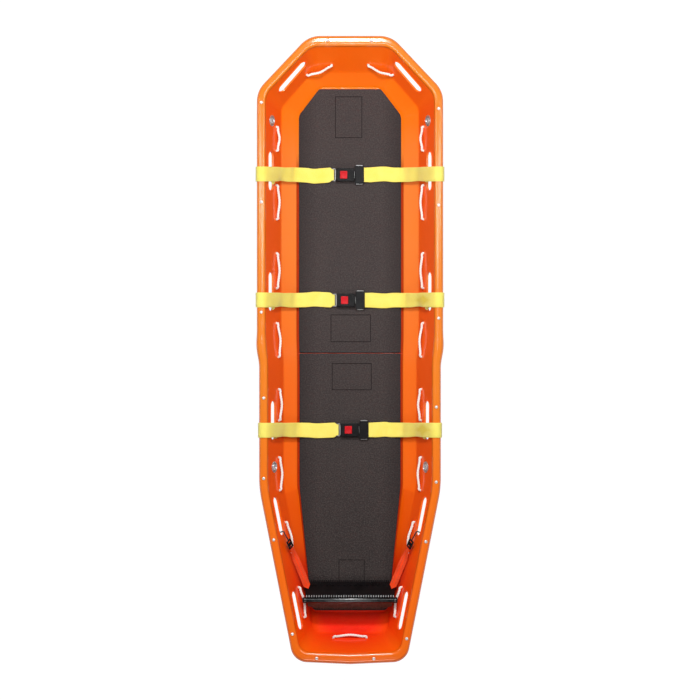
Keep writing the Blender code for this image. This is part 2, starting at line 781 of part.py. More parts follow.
def make_mats(mat):
    right = mat_outline()
    seam_top = MAT_SEAM_Y + MAT_SEAM_GAP / 2
    seam_low = MAT_SEAM_Y - MAT_SEAM_GAP / 2
    seam_x = max(p.x for p in right if p.y < 0)
    head = [p for p in right if p.y > seam_top] + [Vector((seam_x, seam_top))]
    foot = [Vector((seam_x, seam_low))] + [p for p in right if p.y < seam_low]
    for name, half in (("mat_head", head), ("mat_foot", foot)):
        outline = [(p.x, p.y) for p in half] + [(-p.x, p.y) for p in reversed(half) if p.x > 0]
        bm = bmesh.new()
        frame = Matrix.Translation((0, 0, FLOOR_Z + GAP + MAT_THICK / 2))
        add_prism(bm, outline, frame, MAT_THICK)
        bmesh.ops.remove_doubles(bm, verts=bm.verts, dist=0.0001)
        pad = add_object(name, bm, mat)
        add_bevel(pad, MAT_BEVEL, 1, 60)


def buckle_centre_z():
    return MAT_TOP + BUCKLE_LIFT + BUCKLE_HEIGHT / 2


def strap_stations():
    stations = slot_stations()
    reach = SLOT_LENGTH / 2 - STRAP_WIDTH / 2
    return [stations[s] - reach + room for s, room in zip(STRAP_SLOTS, STRAP_ROOMS)]


def strap_route(side, y, inner_end):
    """Route in the XZ plane: from the buckle over the rim, in through the slot, under itself."""
    edge = edge_x(y)
    near = STRAP_THICK / 2 + STRAP_CLEAR
    middle = buckle_centre_z()
    lie = MAT_TOP + STRAP_LIE + STRAP_THICK / 2
    shoulder = DEPTH - RIM_SHOULDER + near
    low = DEPTH - LIP_DROP - near
    slot_z = WALL_TOP_Z - (SLOT_INSET - RIM_WIDTH) / wall_lean() + STRAP_OVER_SLOT_MIDDLE
    crease = Vector((CREASE["side"] + STRAP_CREASE_IN, CREASE_Z + STRAP_OVER_CREASE))
    top = Vector((RIM_WIDTH + STRAP_OFF_WALL_TOP, WALL_TOP_Z - RIM_SHOULDER))
    down = (crease - top).normalized()
    under = Vector((down.y, -down.x)) * (STRAP_THICK + LOOP_GAP)

    def beneath(inset):
        return top + down * (inset - top.x) / down.x + under

    insets = [(FLOOR["side"] + STRAP_LIE_FROM_EDGE, lie), (FLOOR["side"], FLOOR_Z + STRAP_OVER_FLOOR_EDGE),
              crease, top, (RIM_WIDTH - RIM_SHOULDER_OUT + near, shoulder),
              (RIM_WIDTH - RIM_FLAT_OUT, DEPTH + near), (RIM_FLAT_IN, DEPTH + near),
              (RIM_SHOULDER_IN - near, shoulder), (-near, DEPTH - RIM_SIDE_TOP),
              (-near, DEPTH - LIP_DROP), (RIM_SHOULDER_IN, low - STRAP_CLEAR), (RIM_WIDTH, slot_z),
              (STRAP_THROUGH_SLOT, slot_z), beneath(STRAP_THROUGH_SLOT + LOOP_TURN), beneath(LOOP_END_INSET)]
    route = [Vector((inner_end + side * run, 0, z))
             for run, z in ((0.0, middle), (STRAP_LEVEL_RUN, middle), (STRAP_DROP_RUN, lie))]
    return route + [Vector((side * (edge - inset), 0, z)) for inset, z in insets]


def wall_lean():
    """How far the wall leans inward for each metre that it goes down."""
    return (CREASE["side"] - RIM_WIDTH) / (WALL_TOP_Z - CREASE_Z)


def make_strap_half(name, side, y, inner_end, mat):
    bm = bmesh.new()
    route = strap_route(side, y, inner_end)
    rows = []
    for p in route:
        rows.append([bm.verts.new((p.x, y + dy, p.z)) for dy in (-STRAP_WIDTH / 2, STRAP_WIDTH / 2)])
    for row, after in zip(rows, rows[1:]):
        bm.faces.new((row[0], row[1], after[1], after[0]))
    strap = add_object(name, bm, mat)
    add_solidify(strap, STRAP_THICK, offset=0.0)
    return strap


def make_straps(mats):
    for number, (y, shift) in enumerate(zip(strap_stations(), STRAP_X_OFFSETS), 1):
        make_buckle(number, y, shift, mats)


def make_buckle(number, y, shift, mats):
    """One restraint strap: two webbing halves, the buckle, its button, and the tongue."""
    prefix = f"strap{number}_"
    z = buckle_centre_z()
    left = shift + BUCKLE_START
    right = left + BUCKLE_LENGTH
    top = z + BUCKLE_HEIGHT / 2
    half = BUCKLE_WIDTH / 2
    body_bm = bmesh.new()
    add_box(body_bm, (left, y - half, top - BUCKLE_HEIGHT), (right, y + half, top))
    body = add_object(prefix + "buckle_body", body_bm, mats["black_plastic"])
    add_bevel(body, BUCKLE_BEVEL, 2)
    holes = bmesh.new()
    button_x = left + BUTTON_FROM_END
    pocket = BUTTON_WIDTH / 2 + BUTTON_GAP
    add_box(holes, (button_x - BUTTON_GAP, y - pocket, top - BUTTON_POCKET),
            (button_x + BUTTON_LENGTH + BUTTON_GAP, y + pocket, top + WALL))
    mouth_z = z - MOUTH_DROP
    mouth = TONGUE_THICK / 2 + TONGUE_GAP
    mouth_half = TONGUE_WIDTH / 2 + TONGUE_GAP
    add_box(holes, (right - TONGUE_REACH - TONGUE_GAP, y - mouth_half, mouth_z - mouth),
            (right + WALL, y + mouth_half, mouth_z + mouth))
    plate_half = PLATE_WIDTH / 2 - PLATE_NECK_CUT + TONGUE_GAP
    plate_gap = TONGUE_THICK / 2 + GAP
    add_box(holes, (left - WALL, y - plate_half, mouth_z - plate_gap),
            (left + PLATE_IN + GAP, y + plate_half, mouth_z + plate_gap))
    cut(body, add_cutter(prefix + "buckle_holes", holes))
    make_button(prefix, button_x, y, top, mats["red_plastic"])
    plate_end = left + PLATE_IN
    make_plate(prefix, plate_end, y, mouth_z, mats["steel"])
    cover_end = make_tongue(prefix, right, y, mouth_z, mats)
    webbing_end = plate_end - PLATE_LENGTH + WEBBING_OVER_PLATE
    make_strap_half(prefix + "webbing_left", -1, y, webbing_end, mats["webbing"])
    make_strap_half(prefix + "webbing_right", 1, y, cover_end + COVER_TO_WEBBING, mats["webbing"])


def make_button(prefix, x, y, top, mat):
    bm = bmesh.new()
    half = BUTTON_WIDTH / 2
    add_box(bm, (x, y - half, top + BUTTON_RISE - BUTTON_THICK),
            (x + BUTTON_LENGTH, y + half, top + BUTTON_RISE))
    button = add_object(prefix + "press_button", bm, mat)
    add_bevel(button, BUTTON_BEVEL, 2)


def make_plate(prefix, end, y, z, mat):
    """Steel anchor plate in the buckle's tail."""
    bm = bmesh.new()
    start = end - PLATE_LENGTH
    step = end - PLATE_NECK_LENGTH
    half = PLATE_WIDTH / 2
    neck = half - PLATE_NECK_CUT
    outline = [(start, -half), (step, -half), (step, -neck), (end, -neck),
               (end, neck), (step, neck), (step, half), (start, half)]
    add_prism(bm, outline, Matrix.Translation((0, y, z)), TONGUE_THICK)
    add_object(prefix + "anchor_plate", bm, mat)


def make_tongue(prefix, mouth_x, y, z, mats):
    """Steel tongue and the black adjuster cover round its head; gives the cover's outer end."""
    half = TONGUE_HEAD_WIDTH / 2
    blade = TONGUE_WIDTH / 2
    start = mouth_x - TONGUE_REACH
    head = mouth_x + TONGUE_NECK
    end = head + TONGUE_HEAD_LENGTH
    nip = TONGUE_CHAMFER
    upper = [(start, blade - nip), (start + nip, blade), (head, blade), (head, half - nip),
             (head + nip, half), (end - nip, half), (end, half - nip)]
    outline = upper + [(px, -py) for px, py in reversed(upper)]
    bm = bmesh.new()
    add_prism(bm, outline, Matrix.Translation((0, y, z)), TONGUE_THICK)
    tongue = add_object(prefix + "tongue", bm, mats["steel"])
    holes = bmesh.new()
    latch = start + LATCH_HOLE_FROM_TIP
    add_box(holes, (latch, y - LATCH_HOLE_WIDTH / 2, z - TONGUE_THICK),
            (latch + LATCH_HOLE_LENGTH, y + LATCH_HOLE_WIDTH / 2, z + TONGUE_THICK))
    cut(tongue, add_cutter(prefix + "tongue_latch_hole", holes))
    cover_bm = bmesh.new()
    middle = (head + end) / 2
    reach = COVER_LENGTH / 2
    add_box(cover_bm, (middle - reach, y - COVER_WIDTH / 2, z - COVER_BELOW),
            (middle + reach, y + COVER_WIDTH / 2, z + COVER_ABOVE))
    cover = add_object(prefix + "adjuster_cover", cover_bm, mats["black_plastic"])
    add_bevel(cover, COVER_BEVEL, 2)
    pocket = bmesh.new()
    deep = TONGUE_THICK / 2 + GAP
    add_box(pocket, (head - GAP, y - half - GAP, z - deep), (end + GAP, y + half + GAP, z + deep))
    add_box(pocket, (head - COVER_LENGTH, y - blade - GAP, z - deep), (head, y + blade + GAP, z + deep))
    cut(cover, add_cutter(prefix + "cover_pocket", pocket))
    return middle + reach


def rest_panel(name, y_top, z_top, y_low, z_low, half_top, half_low, mat, teeth=0):
    """A flat panel of the footrest between its top and lower edges, with optional teeth below."""
    down = Vector((0, y_low - y_top, z_low - z_top))
    height = down.length
    x_axis = Vector((1, 0, 0))
    y_axis = -down.normalized()
    frame = Matrix((x_axis, y_axis, x_axis.cross(y_axis))).transposed().to_4x4()
    frame = Matrix.Translation((0, y_low, z_low)) @ frame
    knee = height * REST_TAPER_UP_TO
    outline = [(half_low, 0.0), (half_top, knee), (half_top, height), (-half_top, height),
               (-half_top, knee), (-half_low, 0.0)]
    tip, notch, notch_end = REST_TOOTH
    for i in range(teeth):
        pitch = 2 * half_low / teeth
        x = -half_low + pitch * i
        outline += [(x + pitch * tip, 0.0), (x + pitch * notch, REST_PANEL)]
        outline += [(x + pitch * notch_end, REST_PANEL)]
    bm = bmesh.new()
    add_prism(bm, outline, frame, REST_PANEL)
    bmesh.ops.remove_doubles(bm, verts=bm.verts, dist=0.0001)
    return add_object(name, bm, mat), frame, height


def make_footrest(mats):
    y = rest_y()
    half = rest_half(REST_BAR_FROM_EDGE)
    bar = bmesh.new()
    add_cylinder(bar, (-half, y, REST_BAR_Z), (half, y, REST_BAR_Z), REST_BAR_RADIUS, 12)
    obj = add_object("footrest_bar", bar, mats["black_tube"])
    add_bevel(obj, REST_BAR_CHAMFER, 1, 60)
    front_y, front_z = panel_top(REST_FRONT_RUN, REST_FRONT_Z)
    half = rest_half(REST_FRONT_FROM_EDGE)
    rest_panel("footrest_board", front_y, front_z, y + REST_FRONT_RUN, REST_FRONT_Z,
               half, half - REST_FRONT_TAPER, mats["black_plastic"], REST_TEETH)
    lean = REST_BACK_RUN / math.hypot(REST_BACK_RUN, REST_BAR_Z - MAT_TOP)
    low_z = MAT_TOP + GAP + lean * REST_PANEL / 2
    back_y, back_z = panel_top(-REST_BACK_RUN, low_z)
    half = rest_half(REST_BACK_FROM_EDGE)
    back, frame, height = rest_panel("footrest_stand", back_y, back_z, y - REST_BACK_RUN, low_z,
                                     half, half - REST_BACK_TAPER, mats["black_plastic"])
    ribs = bmesh.new()
    low, high = STAND_RIB_SPAN
    for i in range(1, REST_BAYS):
        x = half * 2 * (i / REST_BAYS - 0.5)
        for side in (-1, 1):
            place = x + side * STAND_RIB_FROM_LINE
            verts = add_box(ribs, (place - STAND_RIB_WIDTH / 2, height * low, 0),
                            (place + STAND_RIB_WIDTH / 2, height * high, REST_PANEL / 2 + REST_RIB))
            bmesh.ops.transform(ribs, matrix=frame, verts=verts)
    cut(back, add_cutter("stand_ribs", ribs), "UNION")
    make_gussets(mats)


def rest_y():
    return -HALF_L + REST_Y_FROM_FOOT


def rest_half(from_edge):
    """Half the length of a footrest piece that stops short of the hull's edge."""
    return edge_x(rest_y()) - from_edge


def panel_top(run, low_z):
    """Where a panel that runs from the bar down to low_z meets the bar."""
    lean = Vector((run, low_z - REST_BAR_Z)).normalized()
    reach = REST_BAR_RADIUS + GAP
    return rest_y() + lean.x * reach, REST_BAR_Z + lean.y * reach


def make_gussets(mats):
    """Side webs that join the board and the stand under the bar."""
    y = rest_y()
    half = rest_half(REST_BACK_FROM_EDGE)
    front = REST_FRONT_RUN / (REST_BAR_Z - REST_FRONT_Z)
    back = REST_BACK_RUN / (REST_BAR_Z - MAT_TOP)
    clear = REST_PANEL / 2 + GAP
    top = REST_BAR_Z - REST_BAR_RADIUS - GUSSET_DROP
    low = REST_FRONT_Z + GUSSET_RISE
    before = [(y + (REST_BAR_Z - z) * front - clear * math.hypot(1, front), z) for z in (top, low)]
    behind = [(y - (REST_BAR_Z - z) * back + clear * math.hypot(1, back), z) for z in (low, top)]
    turn = Matrix(((0, 0, 1), (1, 0, 0), (0, 1, 0))).to_4x4()
    for name, side in (("footrest_gusset_left", -1), ("footrest_gusset_right", 1)):
        bm = bmesh.new()
        place = Matrix.Translation((side * (half - GUSSET_INSET), 0, 0))
        add_prism(bm, before + behind, place @ turn, REST_PANEL)
        add_object(name, bm, mats["black_plastic"])


def make_foot_straps(mats):
    """Webbing that ties the footrest to the lower ends of the fourth pair of hand holes."""
    for name, side in (("left", -1), ("right", 1)):
        slot_y = slot_stations()[FOOT_STRAP_SLOT]
        place, normal = side_place(side, slot_y - SLOT_LENGTH * FOOT_STRAP_DOWN_SLOT, SLOT_INSET)
        start = place + normal * HOOK_STANDOFF
        half = rest_half(REST_FRONT_FROM_EDGE) - FOOT_STRAP_FROM_END
        board = Vector((side * half, rest_y() + REST_FRONT_RUN * (1 - FOOT_STRAP_HEIGHT), 0))
        board.z = REST_FRONT_Z + (REST_BAR_Z - REST_FRONT_Z) * FOOT_STRAP_HEIGHT + FOOT_STRAP_OFF_BOARD
        lock = start.lerp(board, LOCK_SHARE)
        way = (board - start).normalized()
        make_ladder_lock(f"foot_buckle_{name}", lock, way, normal, mats["black_plastic"])
        eye = lock - way * (LOCK_LENGTH / 2 + GAP)
        make_hook(f"foot_hook_{name}", place, normal, eye, mats["black_tube"])
        first = lock + way * (LOCK_LENGTH / 2 + GAP * 2)
        make_foot_strap(f"foot_strap_{name}", first, board, normal, mats["orange_webbing"])


def strap_frame(place, way, normal):
    x_axis = way.normalized()
    z_axis = (normal - x_axis * normal.dot(x_axis)).normalized()
    frame = Matrix((x_axis, z_axis.cross(x_axis), z_axis)).transposed().to_4x4()
    return Matrix.Translation(place) @ frame


def make_foot_strap(name, start, end, normal, mat):
    frame = strap_frame((start + end) / 2, end - start, normal)
    half = (end - start).length / 2
    width = FOOT_STRAP_WIDTH / 2
    shoulder = half - FOOT_STRAP_POINT
    outline = [(-half, -width), (shoulder, -width), (half, 0.0), (shoulder, width), (-half, width)]
    bm = bmesh.new()
    add_prism(bm, outline, frame, FOOT_STRAP_THICK)
    add_object(name, bm, mat)


def make_ladder_lock(name, place, way, normal, mat):
    """Flat three-bar buckle that sets the footrest strap's length."""
    frame = strap_frame(place, way, normal)
    bm = bmesh.new()
    corner = Vector((LOCK_LENGTH, LOCK_WIDTH, LOCK_THICK)) / 2
    verts = add_box(bm, -corner, corner)
    bmesh.ops.transform(bm, matrix=frame, verts=verts)
    lock = add_object(name, bm, mat)
    add_bevel(lock, LOCK_BEVEL, 1)
    holes = bmesh.new()
    window = Vector((LOCK_WINDOW_LENGTH / 2, LOCK_WINDOW_WIDTH / 2, LOCK_THICK))
    for x in (-LOCK_WINDOW_X, LOCK_WINDOW_X):
        verts = add_box(holes, Vector((x, 0, 0)) - window, Vector((x, 0, 0)) + window)
        bmesh.ops.transform(holes, matrix=frame, verts=verts)
    cut(lock, add_cutter(name + "_windows", holes))


def make_hook(name, place, normal, end, mat):
    """Bent wire hook from the buckle through the hand hole to the wall's outer face."""
    inner = place + normal * (HOOK_RADIUS + WALL)
    outer = place - normal * (WALL + HOOK_RADIUS + ROPE_CLEARANCE)
    reach = end - inner
    tail = outer - (end - place).normalized() * HOOK_TAIL
    points = [end, end - reach * 0.5, inner, place - normal * WALL / 2, outer, tail]
    return tube_along(name, points, HOOK_RADIUS, mat, 1)


reset_scene()
PARTS = collection("drag_basket_stretcher")
CUTTERS = collection("cutters")
MATS = {
    "hull": material("orange_hull", (0.85, 0.16, 0.02), 0.35),
    "aluminium": material("rim_tube_aluminium", (0.70, 0.71, 0.72), 0.35, 1.0),
    "steel": material("bright_steel", (0.75, 0.75, 0.75), 0.22, 1.0),
    "rope": material("white_rope", (0.85, 0.84, 0.80), 0.80),
    "foam": material("black_foam", (0.045, 0.040, 0.040), 0.90),
    "webbing": material("yellow_webbing", (0.90, 0.84, 0.12), 0.75),
    "orange_webbing": material("orange_webbing", (0.80, 0.13, 0.03), 0.75),
    "black_plastic": material("black_plastic", (0.02, 0.02, 0.022), 0.40),
    "black_tube": material("black_tube", (0.015, 0.018, 0.020), 0.25),
    "red_plastic": material("red_plastic", (0.60, 0.01, 0.01), 0.35),
}
_surface = hull_surface()
HULL_TREE = BVHTree.FromBMesh(_surface)
_surface.free()
make_shell(MATS["hull"])
make_rim_tube(MATS["aluminium"])
make_rivets(MATS["steel"])
make_eyelets(MATS["steel"])
make_rope(MATS["rope"])
make_mats(MATS["foam"])
make_straps(MATS)
make_footrest(MATS)
make_foot_straps(MATS)
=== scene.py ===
import math

import bmesh
import bpy
from mathutils import Matrix, Vector
from mathutils.bvhtree import BVHTree


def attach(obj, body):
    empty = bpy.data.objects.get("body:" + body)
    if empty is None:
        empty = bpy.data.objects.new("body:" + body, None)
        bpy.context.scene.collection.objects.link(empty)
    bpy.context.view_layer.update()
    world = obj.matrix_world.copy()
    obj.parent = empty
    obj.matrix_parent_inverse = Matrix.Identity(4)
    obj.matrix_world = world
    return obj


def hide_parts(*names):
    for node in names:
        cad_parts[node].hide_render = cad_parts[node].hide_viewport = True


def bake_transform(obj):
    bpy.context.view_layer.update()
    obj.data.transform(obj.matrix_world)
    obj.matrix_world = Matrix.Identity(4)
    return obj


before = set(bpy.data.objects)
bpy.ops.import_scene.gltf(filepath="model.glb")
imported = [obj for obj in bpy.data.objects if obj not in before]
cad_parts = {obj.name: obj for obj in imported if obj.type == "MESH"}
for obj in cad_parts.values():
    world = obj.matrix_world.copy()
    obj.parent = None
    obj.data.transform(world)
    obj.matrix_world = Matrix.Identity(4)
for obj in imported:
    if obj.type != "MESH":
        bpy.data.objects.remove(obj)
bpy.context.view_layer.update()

# Sizes shared with the CAD part, in metres
LENGTH = 2.165
WIDTH = 0.642
DEPTH = 0.19
WALL = 0.004
RUNNER_HEIGHT = 0.02
RUNNER_X = 0.118
RIM_WIDTH = 0.031
WALL_TOP_Z = DEPTH - 0.014
LIP_Z = DEPTH - 0.04
FLOOR_Z = RUNNER_HEIGHT + WALL
CREASE_Z = FLOOR_Z + 0.046
MAT_TOP = FLOOR_Z + 0.0103
HALF_L = LENGTH / 2
HALF_W = WIDTH / 2
SLEEVE_Y = 0.005
SLEEVE_HALF_LENGTH = 0.066
SWELLING = 0.005
SLEEVE_RISE = 0.0014
ROPE_RADIUS = 0.0045
ROPE_CLEARANCE = 0.0012
ROPE_CLEAR = ROPE_RADIUS + ROPE_CLEARANCE
STRAP_THICK = 0.0022
WEB_HALF_WIDTH = 0.026
SEAT_GAP = 0.0003

# The hull's plan outlines, from the outer edge in: insets at the side, head and foot, the corner cut at
# the head, the step at mid length, the foot's taper and corner, and the fillets' radii
OUTLINE_SIZES = ("side", "head", "foot", "cut_x", "cut_y", "step", "taper_start", "taper_in", "foot_corner",
                 "radii")
EDGE, WALL_TOP, CREASE, FLOOR = (dict(zip(OUTLINE_SIZES, sizes)) for sizes in (
    (0, 0, 0, 0.179, 0.1895, 0.008, 0.6055, 0.118, 0.0085, (0.09, 0.4, 0.058)),
    (RIM_WIDTH, 0.038, 0.037, 0.155, 0.1645, 0.008, 0.608, 0.1115, 0.0445, (0.07, 0.4, 0.04)),
    (0.083, 0.12, 0.1, 0.11, 0.1245, 0.008, 0.612, 0.1006, 0.1045, (0.05, 0.3, 0.034)),
    (0.141, 0.1725, 0.174, 0.075, 0.098, 0.002, 0.612, 0.042, 0.1775, (0.04, 0.2, 0.03))))
CORNER_STEPS = (13, 13, 7, 15)
SWELL_STEPS = 18

SLOT_LENGTH = 0.135
SLOT_HEIGHT = 0.035
SLOT_INSET = 0.0475
SLOT_STATIONS = (HALF_L - 0.465, HALF_L - 0.881, -HALF_L + 0.84, -HALF_L + 0.509, -HALF_L + 0.184)
EYELET_INSET = 0.0515
EYELET_BORE = 0.0138
RIVET_INSET = 0.0155
EYELET_STATIONS = (("head", HALF_L - 0.2905), ("foot", -HALF_L + 0.6785))
ROPE_INSET = 0.067
ROPE_STATIONS = ([HALF_L - d for d in (0.311, 0.394, 0.513, 0.631, 0.748, 0.869, 0.989, 1.106)]
                 + [-HALF_L + d for d in (0.947, 0.839, 0.712, 0.598, 0.488, 0.382, 0.263, 0.16)])
SIDES = (("left", -1), ("right", 1))
PIXEL = 0.003445  # one pixel of the photograph, in metres


# Mesh helpers

def shade(mesh, sharp=35):
    mesh.shade_smooth()
    mesh.set_sharp_from_angle(angle=math.radians(sharp))


def add_object(name, bm, materials=(), sharp=35):
    mesh = bpy.data.meshes.new(name)
    bmesh.ops.recalc_face_normals(bm, faces=bm.faces)
    bm.to_mesh(mesh)
    bm.free()
    for mat in materials:
        mesh.materials.append(mat)
    shade(mesh, sharp)
    obj = bpy.data.objects.new(name, mesh)
    bpy.context.scene.collection.objects.link(obj)
    return obj


def piece(node, bm, looks, sharp=35):
    """A visual piece for that CAD node, in the looks of those names."""
    return add_object("visual_" + node, bm, [MATS[look] for look in looks.split()], sharp)


def settle(obj, body):
    """The piece rides on the body, in place of the CAD node that its name holds."""
    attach(obj, body)
    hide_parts(obj.name.removeprefix("visual_"))


def apply_modifiers(obj):
    """The object's mesh with its modifiers applied."""
    bpy.context.view_layer.update()
    depsgraph = bpy.context.evaluated_depsgraph_get()
    mesh = bpy.data.meshes.new_from_object(obj.evaluated_get(depsgraph))
    obj.modifiers.clear()
    obj.data = mesh
    if mesh.has_custom_normals:
        mesh.attributes.remove(mesh.attributes["custom_normal"])
    shade(mesh)


def cut(obj, bm, operation="DIFFERENCE"):
    cutter = add_object("cutter", bm)
    mod = obj.modifiers.new("cut", "BOOLEAN")
    mod.operation = operation
    mod.object = cutter
    mod.solver = "EXACT"
    apply_modifiers(obj)
    bpy.data.objects.remove(cutter)


def bevel(obj, width, segments=2, angle=50):
    mod = obj.modifiers.new("bevel", "BEVEL")
    mod.width = width
    mod.segments = segments
    mod.limit_method = "ANGLE"
    mod.angle_limit = math.radians(angle)
    mod.harden_normals = True


def weigh_normals(obj):
    """Flat faces stay flat beside rounded edges."""
    obj.modifiers.new("normals", "WEIGHTED_NORMAL").keep_sharp = True


def circle(count):
    """The cosine and sine at each of count even steps round a circle."""
    angles = [2 * math.pi * k / count for k in range(count)]
    return [(math.cos(angle), math.sin(angle)) for angle in angles]


def join_rings(bm, rings, cyclic=False):
    """Faces from each ring of corners to the next, and from the last to the first if cyclic."""
    faces = []
    for ring, after in zip(rings, rings[1:] + rings[:1] if cyclic else rings[1:]):
        for i in range(len(ring)):
            j = (i + 1) % len(ring)
            faces.append(bm.faces.new((ring[i], ring[j], after[j], after[i])))
    return faces


def close_ends(bm, rings):
    return [bm.faces.new(list(reversed(rings[0]))), bm.faces.new(rings[-1])]


def add_box(bm, low, high, at=Matrix.Identity(4)):
    low, high = Vector(low), Vector(high)
    place = Matrix.Translation((low + high) / 2) @ Matrix.Diagonal((*(high - low), 1))
    bmesh.ops.create_cube(bm, size=1, matrix=at @ place)


def add_bore(bm, middle, reach, radius, sides):
    """A cylinder that reaches the same way to both sides of its middle."""
    start, end = middle - reach, middle + reach
    axis = end - start
    place = Matrix.Translation((start + end) / 2) @ axis.to_track_quat("Z", "Y").to_matrix().to_4x4()
    bmesh.ops.create_cone(bm, cap_ends=True, segments=sides, radius1=radius, radius2=radius,
                          depth=axis.length, matrix=place)


def add_prism(bm, outline, at, depth):
    """The outline as a block of that depth, centred on a place or in a frame."""
    if not isinstance(at, Matrix):
        at = Matrix.Translation(at)
    rings = [[bm.verts.new(at @ Vector((x, y, z))) for x, y in outline] for z in (-depth / 2, depth / 2)]
    close_ends(bm, rings)
    join_rings(bm, rings)


def prism(outline, at, depth):
    bm = bmesh.new()
    add_prism(bm, outline, at, depth)
    return bm


def plate(width, height, radius, at, depth):
    return prism(rounded_rectangle(width, height, radius), at, depth)


def mirrored(half, x_way=1, y_way=-1):
    """Half an outline and its mirror image, in the order of one round trip."""
    return half + [(x_way * x, y_way * y) for x, y in reversed(half)]


def lathe(profile, at, sides):
    """A closed profile of (radius, height) turned round the frame's Z."""
    bm = bmesh.new()
    rings = [[bm.verts.new(at @ Vector((r * c, r * s, h))) for r, h in profile] for c, s in circle(sides)]
    join_rings(bm, rings, cyclic=True)
    return bm


def rounded_rectangle(width, height, radius, steps=5):
    points = []
    for cx, cy, start in ((1, 1, 0), (-1, 1, 0.5), (-1, -1, 1), (1, -1, 1.5)):
        for i in range(steps + 1):
            angle = math.pi * (start + 0.5 * i / steps)
            points.append((cx * (width / 2 - radius) + radius * math.cos(angle),
                           cy * (height / 2 - radius) + radius * math.sin(angle)))
    return points


def stadium(length, width, steps=9):
    radius = width / 2
    reach = length / 2 - radius
    points = []
    for side, start in ((1, -math.pi / 2), (-1, math.pi / 2)):
        for i in range(steps + 1):
            angle = start + math.pi * i / steps
            points.append((side * reach + radius * math.cos(angle), radius * math.sin(angle)))
    return points


def fillet(before, corner, after, radius, steps):
    to_before = (before - corner).normalized()
    to_after = (after - corner).normalized()
    half = to_before.angle(to_after) / 2
    reach = radius / math.tan(half)
    centre = corner + (to_before + to_after).normalized() * radius / math.sin(half)
    start = corner + to_before * reach - centre
    end = corner + to_after * reach - centre
    sweep = start.angle(end)
    points = []
    for i in range(steps):
        t = i / (steps - 1)
        mixed = start * math.sin((1 - t) * sweep) + end * math.sin(t * sweep)
        points.append(centre + mixed / math.sin(sweep))
    return points


def smooth_line(points, step):
    """Points at even steps along a smooth curve through the given ones."""
    count = len(points)
    padded = [points[0] * 2 - points[1]] + list(points) + [points[-1] * 2 - points[-2]]
    fine = []
    for i in range(count - 1):
        p0, p1, p2, p3 = padded[i:i + 4]
        parts = max(2, int((p2 - p1).length / step * 3))
        for k in range(parts):
            t = k / parts
            fine.append(catmull(p0, p1, p2, p3, t))
    fine.append(points[-1].copy())
    return resample(fine, step)


def catmull(p0, p1, p2, p3, t):
    """Centripetal curve between p1 and p2, which never overshoots near close points."""
    a, b, c = (max(1e-6, gap.length ** 0.5) for gap in (p1 - p0, p2 - p1, p3 - p2))
    m1 = (p1 - p0) / a - (p2 - p0) / (a + b) + (p2 - p1) / b
    m2 = (p2 - p1) / b - (p3 - p1) / (b + c) + (p3 - p2) / c
    m1, m2 = m1 * b, m2 * b
    t2, t3 = t * t, t * t * t
    return p1 * (2 * t3 - 3 * t2 + 1) + m1 * (t3 - 2 * t2 + t) + p2 * (3 * t2 - 2 * t3) + m2 * (t3 - t2)


def resample(points, step):
    total = sum((b - a).length for a, b in zip(points, points[1:]))
    parts = max(1, round(total / step))
    out = [points[0].copy()]
    target, run = total / parts, 0
    for a, b in zip(points, points[1:]):
        length = (b - a).length
        while length > 0 and run + length >= target * len(out) and len(out) < parts:
            out.append(a.lerp(b, (target * len(out) - run) / length))
        run += length
    out.append(points[-1].copy())
    return out


# The hull's outlines and wall

def swell(y):
    away = abs(y - SLEEVE_Y) / SLEEVE_HALF_LENGTH
    return 0.5 + 0.5 * math.cos(math.pi * away) if away < 1 else 0


def half_outline(line):
    side = HALF_W - line["side"]
    low_side = side - line["step"]
    head = HALF_L - line["head"]
    foot = -HALF_L + line["foot"]
    taper_y = -HALF_L + line["taper_start"]
    corner = Vector((low_side - line["taper_in"], -HALF_L + line["foot_corner"]))
    top = Vector((side, SLEEVE_Y + SLEEVE_HALF_LENGTH))
    low = Vector((low_side, SLEEVE_Y - SLEEVE_HALF_LENGTH))
    points = [Vector((0, head)), Vector((side - line["cut_x"], head)),
              Vector((side, head - line["cut_y"])), top, low,
              Vector((low_side, taper_y)), corner, Vector((0, foot))]
    round_head, round_taper, round_foot = line["radii"]
    outline = [points[0]]
    outline += fillet(*points[0:3], round_head, CORNER_STEPS[0])
    outline += fillet(*points[1:4], round_head, CORNER_STEPS[1])
    for i in range(SWELL_STEPS + 1):
        t = i / SWELL_STEPS
        ease = t * t * (3 - 2 * t)
        outline.append(Vector((top.x + (low.x - top.x) * ease, top.y + (low.y - top.y) * t)))
    outline += fillet(*points[4:7], round_taper, CORNER_STEPS[2])
    outline += fillet(*points[5:8], round_foot, CORNER_STEPS[3])
    outline.append(points[7])
    return outline


def full_outline(line):
    right = half_outline(line)
    return right + [Vector((-p.x, p.y)) for p in reversed(right[1:-1])]


